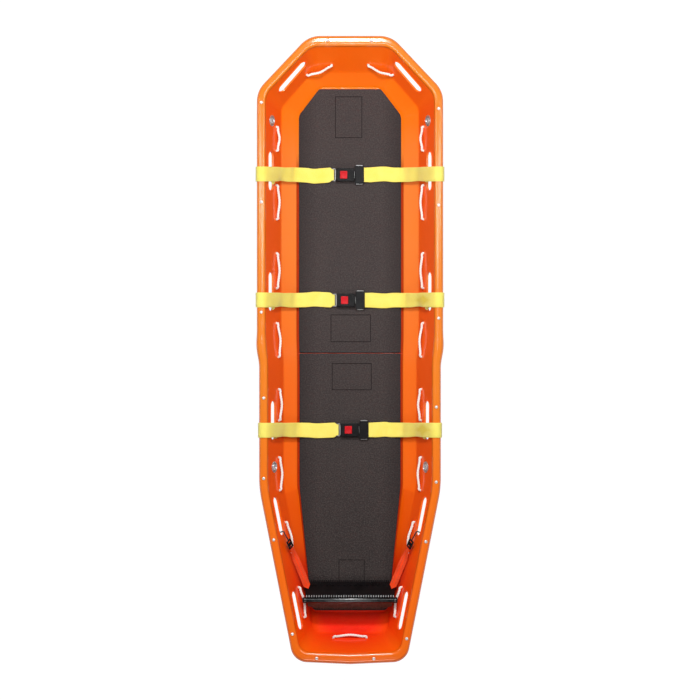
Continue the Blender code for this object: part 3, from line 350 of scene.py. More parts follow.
def section_profile():
    """(inset, height) along the section at mid length: the rolled rim, the wall and the slope."""
    rim = [(0.0034, LIP_Z), (0.0014, DEPTH - 0.0365), (0, DEPTH - 0.031), (0, DEPTH - 0.022),
           (0, DEPTH - 0.013), (0.003, DEPTH - 0.005), (0.0065, DEPTH - 0.0016), (0.0115, DEPTH - 0.0008),
           (0.016, DEPTH), (0.0178, DEPTH + 0.0001), (0.02, DEPTH - 0.0002), (0.0255, DEPTH - 0.0016),
           (0.0285, DEPTH - 0.0052), (RIM_WIDTH, WALL_TOP_Z), (RIM_WIDTH + 0.0026, WALL_TOP_Z - 0.0053)]
    points = smooth_line([Vector(p) for p in rim], 0.0018)
    wall_top = Vector((RIM_WIDTH, WALL_TOP_Z))
    crease = Vector((CREASE["side"], CREASE_Z))
    floor = Vector((FLOOR["side"], FLOOR_Z))
    points += fillet(wall_top, crease, floor, 0.026, 6)
    points += fillet(crease, floor, floor + Vector((0.03, 0)), 0.012, 6)
    return points


def hull_rings():
    lines = [full_outline(o) for o in (EDGE, WALL_TOP, CREASE, FLOOR)]
    insets = (0, RIM_WIDTH, CREASE["side"], FLOOR["side"])
    rings = []
    for inset, z in section_profile():
        k = 2 if inset > insets[2] else 1 if inset > insets[1] else 0
        share = (inset - insets[k]) / (insets[k + 1] - insets[k])
        out = SWELLING * max(0, 1 - inset / RIM_WIDTH)
        up = SLEEVE_RISE * math.sin(math.pi * min(1, inset / RIM_WIDTH + 0.1)) if k == 0 else 0
        ring = []
        for a, b in zip(lines[k], lines[k + 1]):
            p = a.lerp(b, share)
            bump = swell(p.y) if abs(p.x) > HALF_W / 2 else 0
            ring.append(Vector((p.x + math.copysign(out * bump, p.x), p.y, z + up * bump)))
        rings.append(ring)
    return rings


def hull_surface():
    bm = bmesh.new()
    rings = [[bm.verts.new(p) for p in ring] for ring in hull_rings()]
    join_rings(bm, rings)
    bm.faces.new(list(reversed(rings[-1])))
    bm.normal_update()
    return bm


def edge_x(y):
    outline = EDGE_OUTLINE
    for a, b in zip(outline[1:], outline[2:]):
        if b.y <= y <= a.y and a.y > b.y:
            return a.x + (b.x - a.x) * (y - a.y) / (b.y - a.y)
    return 0


def on_wall(x, y):
    place, normal, _, _ = HULL_TREE.ray_cast(Vector((x, y, 1)), Vector((0, 0, -1)))
    return place, normal if normal.z > 0 else -normal


def side_place(side, y, inset):
    return on_wall(side * (edge_x(y) - inset), y)


def wall_frame(place, normal, along):
    """A frame on the wall: X along it, Z out of it."""
    x_axis = (along - normal * along.dot(normal)).normalized()
    turn = Matrix((x_axis, normal.cross(x_axis), normal)).transposed().to_4x4()
    return Matrix.Translation(place) @ turn


def side_frame(side, y, inset):
    place, normal = side_place(side, y, inset)
    ahead, behind = (side_place(side, y + step, inset)[0] for step in (-0.004, 0.004))
    return wall_frame(place, normal, (ahead - behind).normalized())


def slot_frames():
    """The hand holes' frames: on each side one across the head's corner, then five along the side."""
    frames = []
    turn = math.radians(36.8)
    for side in (-1, 1):
        place, normal = on_wall(side * (HALF_W - 0.122), HALF_L - 0.14)
        frames.append(wall_frame(place, normal, Vector((side * math.sin(turn), -math.cos(turn), 0))))
        frames += [side_frame(side, y, SLOT_INSET) for y in SLOT_STATIONS]
    return frames


def rope_holes():
    holes = [on_wall(0.063, HALF_L - 0.097), on_wall(0.149, HALF_L - 0.131)]
    holes += [side_place(1, y, ROPE_INSET) for y in ROPE_STATIONS]
    holes.append(on_wall(0.057, -HALF_L + 0.088))
    mirror = [(Vector((-p.x, p.y, p.z)), Vector((-n.x, n.y, n.z))) for p, n in reversed(holes)]
    return holes + mirror


EDGE_OUTLINE = half_outline(EDGE)
_surface = hull_surface()
HULL_TREE = BVHTree.FromBMesh(_surface)
_surface.free()


def project(place, normal, offset=0):
    """The wall's inner face under a point beside it, moved out along the wall's normal."""
    hit, facing, _, _ = HULL_TREE.ray_cast(place + normal * 0.03, -normal)
    if hit is None:
        return place + normal * offset
    return hit + (facing if facing.dot(normal) > 0 else -facing) * offset


# Sweeps: tubes, twisted strands and ribbons

def carried_frames(points, cyclic):
    """Side and up vectors along a path, turned as little as possible."""
    count = len(points)
    tangents = []
    for i in range(count):
        before = points[i - 1] if cyclic or i else points[i]
        after = points[(i + 1) % count] if cyclic or i < count - 1 else points[i]
        tangents.append((after - before).normalized())
    side = tangents[0].orthogonal().normalized()
    frames = []
    for tangent in tangents:
        side = (side - tangent * side.dot(tangent)).normalized()
        frames.append((side, tangent.cross(side)))
    if cyclic:
        slip = math.atan2(frames[0][0].dot(frames[-1][1]), frames[0][0].dot(frames[-1][0]))
        turned = []
        for i, (a, b) in enumerate(frames):
            angle = slip * i / count
            turned.append((a * math.cos(angle) + b * math.sin(angle),
                           b * math.cos(angle) - a * math.sin(angle)))
        frames = turned
    return frames


def add_tube(bm, points, radius, sides, cyclic=False):
    """A tube along the points; gives its faces."""
    rings = []
    for point, (a, b) in zip(points, carried_frames(points, cyclic)):
        rings.append([bm.verts.new(point + (a * c + b * s) * radius) for c, s in circle(sides)])
    faces = join_rings(bm, rings, cyclic)
    return faces if cyclic else faces + close_ends(bm, rings)


# Half of the webbing's section, in half widths and half thicknesses; the other half is its reverse
HALF_SECTION = [(-1, 0), (-0.994, 0.62), (-0.965, 1), (-0.66, 1), (-0.33, 1), (0, 1),
                (0.33, 1), (0.66, 1), (0.965, 1), (0.994, 0.62)]
RIBBON_SECTION = HALF_SECTION + [(-u, -v) for u, v in HALF_SECTION]


def add_ribbon(bm, points, across, widths, thickness):
    """Webbing along the points: across gives its width's direction at each, UVs are in metres."""
    weave = bm.loops.layers.uv.get("weave") or bm.loops.layers.uv.new("weave")
    rings, runs, run = [], [], 0
    for i, (point, way, width) in enumerate(zip(points, across, widths)):
        before, after = points[max(0, i - 1)], points[min(len(points) - 1, i + 1)]
        up = (after - before).normalized().cross(way).normalized()
        rings.append([bm.verts.new(point + way * (u * width / 2) + up * (v * thickness / 2))
                      for u, v in RIBBON_SECTION])
        run += (point - points[i - 1]).length if i else 0
        runs.append(run)
    for n, face in enumerate(join_rings(bm, rings)):
        i, k = divmod(n, len(RIBBON_SECTION))
        j = (k + 1) % len(RIBBON_SECTION)
        uvs = ((runs[i], k), (runs[i], j), (runs[i + 1], j), (runs[i + 1], k))
        for loop, (along, index) in zip(face.loops, uvs):
            loop[weave].uv = (along, RIBBON_SECTION[index][0] * widths[i] / 2)
    close_ends(bm, rings)


# Pieces on the hull: shell, eyelets, rivets, rope and mats

def runner(x):
    """A drag runner: a long block, shorter and narrower below, with rounded lower edges."""
    bm = bmesh.new()
    start = -HALF_L + 0.225
    end = HALF_L - 0.235
    rings = []
    for z, trim, half in ((0, 0.06, 0.013), (RUNNER_HEIGHT + WALL / 2, 0, 0.017)):
        corners = ((-1, start + trim), (1, start + trim), (1, end - trim), (-1, end - trim))
        rings.append([bm.verts.new((x + side * half, y, z)) for side, y in corners])
    low = close_ends(bm, rings)[0]
    join_rings(bm, rings)
    bmesh.ops.bevel(bm, geom=list(low.edges), offset=0.0035, segments=4, profile=0.5, affect="EDGES")
    return bm


def make_hull():
    hull = piece("shell", hull_surface(), "hull")
    mod = hull.modifiers.new("thickness", "SOLIDIFY")
    mod.thickness = WALL
    mod.offset = -1
    mod.use_even_offset = True
    apply_modifiers(hull)
    for x in (-RUNNER_X, 0, RUNNER_X):
        cut(hull, runner(x), "UNION")
    holes = bmesh.new()
    depth = WALL * 6
    for at in slot_frames():
        add_prism(holes, stadium(SLOT_LENGTH, SLOT_HEIGHT), at, depth)
    for _, at in eyelet_frames():
        add_bore(holes, at.translation, at.col[2].to_3d() * depth / 2, EYELET_BORE, 24)
    for place, normal in rope_holes():
        add_bore(holes, place, normal * depth / 2, ROPE_CLEAR, 14)
    cut(hull, holes)
    beads = bmesh.new()
    beads.from_mesh(hull.data)
    grow, sink = 0.0022, 0.0004
    for at in slot_frames():
        outline = stadium(SLOT_LENGTH + grow, SLOT_HEIGHT + grow, 12)
        for offset in (-sink, sink - WALL):
            line = [project(at @ Vector((x, y, 0)), at.col[2].to_3d(), offset) for x, y in outline]
            line = resample(line + [line[0]], 0.004)[:-1]
            add_tube(beads, line, 0.0019, 8, cyclic=True)
    for place, normal in rope_holes():
        across = normal.orthogonal().normalized()
        up = normal.cross(across)
        reach = ROPE_CLEAR + 0.001
        for offset in (-sink / 2, sink / 2 - WALL):
            line = [place + normal * offset + (across * c + up * s) * reach for c, s in circle(16)]
            add_tube(beads, line, 0.0012, 6, cyclic=True)
    beads.to_mesh(hull.data)
    beads.free()
    shade(hull.data, 32)
    settle(hull, "hull")


def eyelet_frames():
    frames = []
    for end, y in EYELET_STATIONS:
        for side_name, side in SIDES:
            frames.append((f"lifting_eyelet_{end}_{side_name}", side_frame(side, y, EYELET_INSET)))
    return frames


def make_eyelets():
    """Two-part grommets: a domed flange on both faces and a flared barrel between them."""
    dome = [(0.01, 0.0012), (0.0104, 0.0024), (0.0114, 0.0031), (0.013, 0.0031), (0.0152, 0.0026),
            (0.0178, 0.0018), (0.0192, 0.0011), (0.0197, 0.0006), (0.0193, 0.0003)]
    back = [(r, -WALL - h) for r, h in reversed(dome)]
    profile = dome + [(0.0134, 0.0003), (0.0134, -WALL - 0.0003)] + back
    for name, at in eyelet_frames():
        bm = lathe(profile, at, 48)
        ring = [at @ Vector((0.0158 * c, 0.0158 * s, 0.0026)) for c, s in circle(48)]
        add_tube(bm, ring, 0.0006, 6, cyclic=True)
        settle(piece(name, bm, "chrome", 50), "hull")


def rivet_places():
    places = []
    for side, stations in ((-1, (0.8533, 0.5105, 0.1305, -0.1655, -0.4429, -0.6539, -0.9786)),
                           (1, (0.832, 0.4995, 0.1095, -0.1965, -0.455, -0.6605, -0.9945))):
        places += [(side * (edge_x(y) - RIVET_INSET), y) for y in stations]
    places += [(x, HALF_L - RIVET_INSET) for x in (-0.078, 0.073)]
    return places + [(x, foot_edge_y(abs(x)) + RIVET_INSET) for x in (-0.115, 0.082)]


def foot_edge_y(x):
    for a, b in zip(EDGE_OUTLINE, EDGE_OUTLINE[1:]):
        if b.x <= x <= a.x and a.y < 0:
            return a.y + (b.y - a.y) * (x - a.x) / (b.x - a.x)
    return -HALF_L


def make_rivets():
    """Blind rivets: a domed head with the broken mandrel in its middle."""
    profile = [(0.0004, 0.0018), (0.0009, 0.002), (0.0012, 0.0019), (0.0013, 0.0026), (0.0024, 0.0026),
               (0.004, 0.0019), (0.005, 0.001), (0.0055, 0.0003), (0.0054, 0), (0.0021, 0),
               (0.0021, -0.0074), (0.0004, -0.0074)]
    for number, (x, y) in enumerate(rivet_places(), 1):
        bm = lathe(profile, Matrix.Translation((x, y, DEPTH + SEAT_GAP)), 28)
        settle(piece(f"rim_rivet_{number:02d}", bm, "rivet", 45), "hull")


def rope_points():
    """The rope's route: through each hole in turn, with a stretch inside and one outside the wall."""
    holes = rope_holes()
    points = []
    for i, (place, normal) in enumerate(holes):
        inside = i % 2 == 0
        before = holes[i - 1][0]
        after, after_normal = holes[(i + 1) % len(holes)]
        back, ahead = (before - place).normalized(), (after - place).normalized()
        inner, outer = place + normal * ROPE_CLEAR, place - normal * (WALL + ROPE_CLEAR)
        if inside:
            back = (back - normal * back.dot(normal)).normalized()
        else:
            ahead = (ahead - normal * ahead.dot(normal)).normalized()
        first, last = (outer, inner) if inside else (inner, outer)
        points += [first + back * 0.012, first + back * 0.002, last + ahead * 0.002, last + ahead * 0.012]
        if inside:
            out = (normal + after_normal).normalized()
            points.append((place + after) / 2 + out * (ROPE_CLEAR + 0.006) - Vector((0, 0, 0.004)))
            continue
        steps = 1 if normal.angle(after_normal) < 0.2 else 6
        for k in range(1, steps + 1):
            t = k / (steps + 1)
            away = normal.lerp(after_normal, t).normalized()
            points.append(project(place.lerp(after, t), away, -(WALL + ROPE_CLEAR + 0.001)))
    return points


def make_rope():
    """Three strands laid round one another, in and out of the wall's holes."""
    step, sides = 0.003, 8
    lay, strand_out, strand_radius = 0.027, 0.00215, 0.00225
    route = rope_points()
    points = smooth_line(route + [route[0]], step)[:-1]
    frames = carried_frames(points, True)
    length = sum((b - a).length for a, b in zip(points, points[1:] + points[:1]))
    turns = round(length / lay)
    bm = bmesh.new()
    fibre = bm.loops.layers.uv.new("weave")
    for strand in range(3):
        line = []
        for i, (point, (a, b)) in enumerate(zip(points, frames)):
            angle = 2 * math.pi * (turns * i / len(points) + strand / 3)
            line.append(point + (a * math.cos(angle) + b * math.sin(angle)) * strand_out)
        for n, face in enumerate(add_tube(bm, line, strand_radius, sides, cyclic=True)):
            ring, k = divmod(n, sides)
            for loop, (du, dv) in zip(face.loops, ((0, 0), (0, 1), (1, 1), (1, 0))):
                loop[fibre].uv = ((ring + du) * step, (k + dv) * 0.0018)
    settle(piece("laced_rope", bm, "rope", 80), "hull")


def mat_outline():
    top, bottom = HALF_L - 0.179, -HALF_L + 0.181
    return [Vector((max(0, p.x - 0.003), min(top, max(bottom, p.y)))) for p in half_outline(FLOOR)]


def add_trench(bm, low, high, width, bottom, top):
    """A rectangular trench: the space between two nested rectangles."""
    rings = []
    for grow in (0, width):
        for z in (bottom, top):
            corners = ((low[0] - grow, low[1] - grow), (high[0] + grow, low[1] - grow),
                       (high[0] + grow, high[1] + grow), (low[0] - grow, high[1] + grow))
            rings.append([bm.verts.new((x, y, z)) for x, y in corners])
    join_rings(bm, [rings[i] for i in (0, 1, 3, 2)], cyclic=True)


def photo_place(px, py):
    """A place in the photograph, in pixels, as X and Y in metres."""
    return (px - 349.4) * PIXEL, (350.2 - py) * PIXEL


# The mats' die-cut rectangles, by two of their corners in the photograph
DIE_CUTS = ((335, 136.5, 361, 96), (330.6, 341.6, 369.6, 315.2),
            (331.8, 389.9, 370.5, 364.1), (338.6, 590, 363.5, 561.5))


def make_mats():
    right = mat_outline()
    seam_y, seam_half = -0.011, 0.00175
    seam_top, seam_low = seam_y + seam_half, seam_y - seam_half
    seam_x = max(p.x for p in right if p.y < 0)
    head = [p for p in right if p.y > seam_top] + [Vector((seam_x, seam_top))]
    foot = [Vector((seam_x, seam_low))] + [p for p in right if p.y < seam_low]
    for name, half in (("mat_head", head), ("mat_foot", foot)):
        outline = [(p.x, p.y) for p in half] + [(-p.x, p.y) for p in reversed(half) if p.x > 0]
        bm = prism(outline, (0, 0, (FLOOR_Z + SEAT_GAP + MAT_TOP) / 2), MAT_TOP - FLOOR_Z - SEAT_GAP)
        bmesh.ops.remove_doubles(bm, verts=bm.verts, dist=0.0001)
        pad = piece(name, bm, "foam")
        bevel(pad, 0.0024, 4, 60)
        apply_modifiers(pad)
        trenches = bmesh.new()
        for x0, y0, x1, y1 in DIE_CUTS:
            low, high = photo_place(x0, y0), photo_place(x1, y1)
            if (name == "mat_head") == (low[1] > 0):
                add_trench(trenches, low, high, 0.002, MAT_TOP - 0.004, MAT_TOP + 0.002)
        cut(pad, trenches)
        weigh_normals(pad)
        settle(pad, "hull")


# Restraint straps

def slot_z():
    lean = (CREASE["side"] - RIM_WIDTH) / (WALL_TOP_Z - CREASE_Z)
    return WALL_TOP_Z - (SLOT_INSET - RIM_WIDTH) / lean + 0.0005


def loop_keys(side, y, fold):
    """The strap from the slope over the rim, in through the slot and under itself.

    Each key holds x, z and width, then a shift toward the head and a tilt where they aren't 0.
    """
    near = STRAP_THICK / 2 + 0.0007
    crease = Vector((CREASE["side"] + 0.007, CREASE_Z + 0.025))
    top = Vector((RIM_WIDTH + 0.0125, WALL_TOP_Z - 0.004))
    down = (crease - top).normalized()
    under = Vector((down.y, -down.x)) * (STRAP_THICK + 0.003)
    high = slot_z()
    keys = [(FLOOR["side"], FLOOR_Z + 0.0215, 0.05),
            (crease.x + 0.022, crease.y - 0.0225, 0.0505, 0, 0.1 * fold * side),
            (crease.x, crease.y, 0.048, 0.001, 0.17 * fold * side),
            (0.064, 0.1405, 0.0505, 0.0005),
            (top.x, top.y, 0.051),
            (RIM_WIDTH - 0.002, DEPTH - 0.0045 + near, 0.0515),
            (0.02, DEPTH + near, 0.0515),
            (0.01, DEPTH + near, 0.0515),
            (0.0035 - near, DEPTH - 0.0045 + near, 0.0515),
            (-near, DEPTH - 0.013, 0.051),
            (-near, DEPTH - 0.04, 0.051),
            (0.0035, LIP_Z - near - 0.0006, 0.0505),
            (RIM_WIDTH, high, 0.047, -0.0015 * fold),
            (0.046, high, 0.042, -0.0022 * fold),
            (0.053, high, 0.043, -0.0085 * fold)]
    for inset, width, shift in ((0.0585, 0.043, -0.0098), (0.062, 0.044, -0.008), (0.0655, 0.046, -0.0055)):
        place = top + down * (inset - top.x) / down.x + under
        keys.append((place.x, place.y, width, shift * fold))
    edge = edge_x(y)
    return [(side * (edge - inset), *rest) for inset, *rest in keys]


def strap_from_keys(bm, y, keys, step=0.0035):
    """Webbing through the keys; gives its sampled places and directions across."""
    line = smooth_line([Vector((*k, 0, 0)[:5]) for k in keys], step)
    points = [Vector((k[0], y + k[3], k[1])) for k in line]
    across = []
    for i, k in enumerate(line):
        ahead = points[min(len(points) - 1, i + 1)] - points[max(0, i - 1)]
        ahead.y = 0
        up = ahead.normalized().cross(Vector((0, 1, 0)))
        across.append((Vector((0, 1, 0)) * math.cos(k[4]) + up * math.sin(k[4])).normalized())
    add_ribbon(bm, points, across, [k[2] for k in line], STRAP_THICK)
    return points, across


def add_stitches(bm, places, up, length=0.0026, radius=0.0004):
    """Short threads in the second material: places holds each one's middle and direction."""
    for middle, way in places:
        way = way.normalized()
        lift = up * radius * 0.6
        points = [middle - way * length / 2 - lift, middle - way * length / 4 + lift,
                  middle + way * length / 4 + lift, middle + way * length / 2 - lift]
        for face in add_tube(bm, points, radius, 6):
            face.material_index = 1


def stitch_box(bm, points, across, edge):
    """A sewn box with a cross, on the upper face of the strap where it lies on the slope."""
    near_inset, far_inset = 0.048, 0.074
    half = 0.0205
    span = [i for i, p in enumerate(points[:len(points) // 2]) if near_inset <= edge - abs(p.x) <= far_inset]
    if len(span) < 2:
        return
    start, end = points[span[0]], points[span[-1]]
    way = end - start
    length = way.length
    way.normalize()
    side = across[span[0]]
    up = way.cross(side).normalized()
    if up.z < 0:
        up = -up
    base = start + up * (STRAP_THICK / 2 + 0.0003)
    corners = [base - side * half, base + side * half, base + side * half + way * length,
               base - side * half + way * length]
    places = []
    for a, b in ((0, 1), (1, 2), (2, 3), (3, 0), (0, 2), (1, 3)):
        run = corners[b] - corners[a]
        count = int(run.length / 0.0036)
        places += [(corners[a] + run * ((k + 0.5) / count), run) for k in range(count)]
    add_stitches(bm, places, up)


def make_strap(number, y, shift, folds, sway):
    """Both webbing halves and the buckle; folds says how far each loop's fold hangs."""
    prefix = f"strap{number}_"
    body = f"strap{number}"
    middle = MAT_TOP + 0.0012 + BUCKLE_HEIGHT / 2
    lie = MAT_TOP + 0.003 + STRAP_THICK / 2
    left = shift - 0.049
    right = left + BUCKLE_LENGTH
    edge = edge_x(y)
    slope_x = edge - FLOOR["side"] - 0.03
    webs = "webbing thread"

    # The left half: from its end below, round the anchor plate's bar and back out over the mat
    bm = bmesh.new()
    keys = [(left - 0.034, middle - 0.0054, 0.038),
            (left - 0.013, middle - 0.0056, 0.038),
            (left - 0.0082, middle - 0.0052, 0.0375),
            (left - 0.0066, middle - 0.0028, 0.0375),
            (left - 0.0082, middle - 0.0002, 0.0375),
            (left - 0.0125, middle, 0.0385),
            (left - 0.019, middle + 0.0002, 0.049),
            (left - 0.03, middle - 0.0016, 0.0515, sway, 0.02),
            (left - 0.052, lie + 0.0004, 0.0515, sway * 2),
            ((left - 0.052 - edge + FLOOR["side"] + 0.03) / 2, lie + 0.0012, 0.051, sway * 3, -0.03),
            (-slope_x, lie + 0.0002, 0.0505, sway)]
    points, across = strap_from_keys(bm, y, keys + loop_keys(-1, y, folds[0]))
    trim = len(points) // 6
    stitch_box(bm, points[trim:], across[trim:], edge)
    settle(piece(prefix + "webbing_left", bm, webs, 60), body)

    # The right half, from inside the adjuster cover
    bm = bmesh.new()
    start = right + COVER_GAP + COVER_LENGTH / 2 + 0.016
    keys = [(start - 0.004, middle, 0.05),
            (start + 0.01, middle, 0.0505),
            (start + 0.024, middle - 0.002, 0.0515),
            (start + 0.042, lie + 0.0004, 0.0515, -sway),
            ((start + 0.042 + edge - FLOOR["side"] - 0.03) / 2, lie + 0.0014, 0.051, -sway * 2, 0.03),
            (slope_x, lie + 0.0002, 0.0505)]
    points, across = strap_from_keys(bm, y, keys + loop_keys(1, y, folds[1]))
    stitch_box(bm, points, across, edge)
    web = piece(prefix + "webbing_right", bm, webs, 60)
    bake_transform(web)
    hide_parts(prefix + "webbing_right")

    make_buckle(prefix, body, left, right, y, middle)


BUCKLE_LENGTH = 0.064
BUCKLE_HEIGHT = 0.016
COVER_GAP = 0.0045
COVER_LENGTH = 0.026


def make_buckle(prefix, body, left, right, y, middle):
    """Moulded press buckle: housing, button, anchor plate, tongue and adjuster cover."""
    top = middle + BUCKLE_HEIGHT / 2
    mouth_z = middle - 0.003
    slot_half = 0.00155
    button_x = left + 0.015 + 0.01225

    def moulded(node, look, size, place, depth, rounding):
        obj = piece(prefix + node, plate(*size, place, depth), look)
        bevel(obj, rounding, 4)
        apply_modifiers(obj)
        return obj

    def stamped(node, outline, hole):
        obj = piece(prefix + node, prism(outline, (0, y, mouth_z), 0.0025), "steel")
        cut(obj, hole)
        bevel(obj, 0.0004)
        return obj

    def add_slab(bm, x0, x1, half, low, high):
        add_box(bm, (x0, y - half, low), (x1, y + half, high))

    place = ((left + right) / 2, y, middle)
    housing = moulded("buckle_body", "plastic", (BUCKLE_LENGTH, 0.046, 0.0042), place, BUCKLE_HEIGHT, 0.0022)
    cut(housing, plate(0.0305, 0.0325, 0.0035, (button_x, y, top), 0.0014), "UNION")
    cut(housing, plate(0.0257, 0.0277, 0.002, (button_x, y, top), 0.0156))
    holes = bmesh.new()
    add_slab(holes, right - 0.0305, right + 0.01, 0.0125, mouth_z - 0.00175, mouth_z + 0.00175)
    add_slab(holes, left - 0.01, left + 0.0063, 0.018, mouth_z - slot_half, mouth_z + slot_half)
    # Grip grooves on the housing's sides, then on its top
    for k in range(5):
        x = right - 0.0045 - 0.0028 * k
        for side in (-1, 1):
            low, high = sorted((y + side * 0.0222, y + side * 0.024))
            add_box(holes, (x - 0.0006, low, middle - 0.0055), (x + 0.0006, high, middle + 0.0055))
    for k in range(3):
        x = right - 0.006 - 0.0034 * k
        add_slab(holes, x - 0.0005, x + 0.0005, 0.015, top - 0.0006, top + 0.002)
    cut(housing, holes)
    weigh_normals(housing)
    settle(housing, body)

    button = moulded("press_button", "red", (0.0245, 0.0265, 0.0018), (button_x, y, top - 0.001),
                     0.0036, 0.0009)
    dish = bmesh.new()
    hollow = Matrix.Translation((button_x, y, top + 0.001)) @ Matrix.Diagonal((0.0098, 0.0108, 0.0011, 1))
    bmesh.ops.create_uvsphere(dish, u_segments=40, v_segments=20, radius=1, matrix=hollow)
    cut(button, dish)
    weigh_normals(button)
    settle(button, body + "_button")

    start, end, step = left - 0.013, left + 0.006, left - 0.0015
    outline = mirrored([(start + 0.002, -0.022), (step, -0.022), (step, -0.0175), (end, -0.0175)])
    outline += [(start, 0.02), (start, -0.02)]
    slit = plate(0.0046, 0.0386, 0.0018, (left - 0.0063, y, mouth_z), 0.01)
    settle(stamped("anchor_plate", outline, slit), body)

    head = right + COVER_GAP
    end = head + COVER_LENGTH
    wide, nip = 0.034, 0.003
    outline = mirrored([(right - 0.03, 0.009), (right - 0.027, 0.012), (head, 0.012), (head, wide - nip),
                        (head + nip, wide), (end - nip, wide), (end, wide - nip)])
    latch = plate(0.008, 0.012, 0.001, (right - 0.018, y, mouth_z), 0.01)
    settle(stamped("tongue", outline, latch), body + "_tongue")

    middle_x = (head + end) / 2
    cover = moulded("adjuster_cover", "plastic", (0.032, 0.062, 0.0026), (middle_x, y, mouth_z + 0.0012),
                    0.0132, 0.0016)
    holes = bmesh.new()
    add_slab(holes, head - 0.0003, end + 0.0003, 0.05, mouth_z - slot_half, mouth_z + slot_half)
    add_slab(holes, head - 0.01, head, 0.0123, mouth_z - slot_half, mouth_z + slot_half)
    cut(cover, holes)
    holes = bmesh.new()
    add_slab(holes, middle_x + 0.011, middle_x + 0.02, 0.0262, middle - 0.0017, middle + 0.0017)
    for x in (-0.0085, -0.004, 0.004, 0.0085):
        add_slab(holes, middle_x + x - 0.0005, middle_x + x + 0.0005, 0.026, mouth_z + 0.0072, mouth_z + 0.01)
    cut(cover, holes)
    weigh_normals(cover)
    settle(cover, body + "_tongue")


def make_straps():
    """Each strap's room is how far its webbing lies from the foot end of its hand hole."""
    rows = ((0.0305, 0, (1.5, 0.7), -0.0016), (0.0125, 0.003, (1.3, 1.4), 0.0012),
            (0.0075, 0.016, (0.8, 1), -0.001))
    for number, (slot, (room, shift, folds, sway)) in enumerate(zip(SLOT_STATIONS, rows), 1):
        make_strap(number, slot - SLOT_LENGTH / 2 + WEB_HALF_WIDTH + room, shift, folds, sway)


# Footrest

REST_Y = -HALF_L + 0.219
REST_BAR_Z = 0.13
REST_BAR_RADIUS = 0.0105
REST_PANEL = 0.004
BOARD_RUN = 0.066
BOARD_LOW_Z = 0.052
BOARD_INSET = 0.0826
BOARD_TAPER = 0.006
STAND_RUN = 0.03
STAND_INSET = 0.0916
STAND_TAPER = 0.027
BAR_INSET = 0.0726


def panel_frame(run, low_z):
    """A panel's frame at its lower edge, with Y up the panel and X to the right, and its height."""
    down = Vector((0, run, low_z - REST_BAR_Z))
    x_axis = Vector((1, 0, 0))
    y_axis = -down.normalized()
    turn = Matrix((x_axis, y_axis, x_axis.cross(y_axis))).transposed().to_4x4()
    return Matrix.Translation((0, REST_Y + run, low_z)) @ turn, down.length - REST_BAR_RADIUS - SEAT_GAP


def panel(node, half_low, half_top, at, height, look):
    """A panel that narrows toward its lower edge, from about a third of its height."""
    outline = mirrored([(half_low, 0), (half_top, height * 0.35), (half_top, height)], -1, 1)
    return piece("footrest_" + node, prism(outline, at, REST_PANEL), look)


def add_row(bm, at, half, count, half_width, low, high):
    """Like blocks side by side across a panel, between two places in its Y and Z."""
    for i in range(count):
        x = -half + 2 * half * (i + 0.5) / count
        add_box(bm, (x - half_width, *low), (x + half_width, *high), at)


def make_board():
    """The toothed board: rows of holes, comb ribs at the top painted pale as a highlight, and finer ones
    below.
    """
    at, height = panel_frame(BOARD_RUN, BOARD_LOW_Z)
    half_top = edge_x(REST_Y) - BOARD_INSET
    half_low = half_top - BOARD_TAPER
    board = panel("board", half_low, half_top, at, height, "plastic comb")
    gaps = bmesh.new()
    through = 0.006
    teeth, holes, comb_ribs, fine_ribs = 40, 15, 36, 60
    add_row(gaps, at, half_low, teeth, 0.0014, (-0.002, -through), (0.0085, through))
    row = height * 0.315
    add_row(gaps, at, half_low, holes, 0.0052, (row, -through), (row + 0.0034, through))
    cut(board, gaps)
    ribs = bmesh.new()
    ribs.from_mesh(board.data)
    plain = len(ribs.faces)
    facing = -1 if (at.to_3x3() @ Vector((0, 0, 1))).z < 0 else 1

    def face_range(rise):
        return sorted((facing * REST_PANEL / 2, facing * (REST_PANEL / 2 + rise)))

    low, high = face_range(0.0022)
    add_row(ribs, at, half_top, comb_ribs, 0.0013, (height - 0.0095, low - 0.0004), (height - 0.0015, high))
    ribs.faces.ensure_lookup_table()
    for face in ribs.faces[plain:]:
        face.material_index = 1
    low, high = face_range(0.0009)
    add_row(ribs, at, half_top, fine_ribs, 0.0008, (0.0105, low - 0.0003), (height * 0.29, high))
    ribs.to_mesh(board.data)
    ribs.free()
    bevel(board, 0.0004)
    settle(board, "footrest")


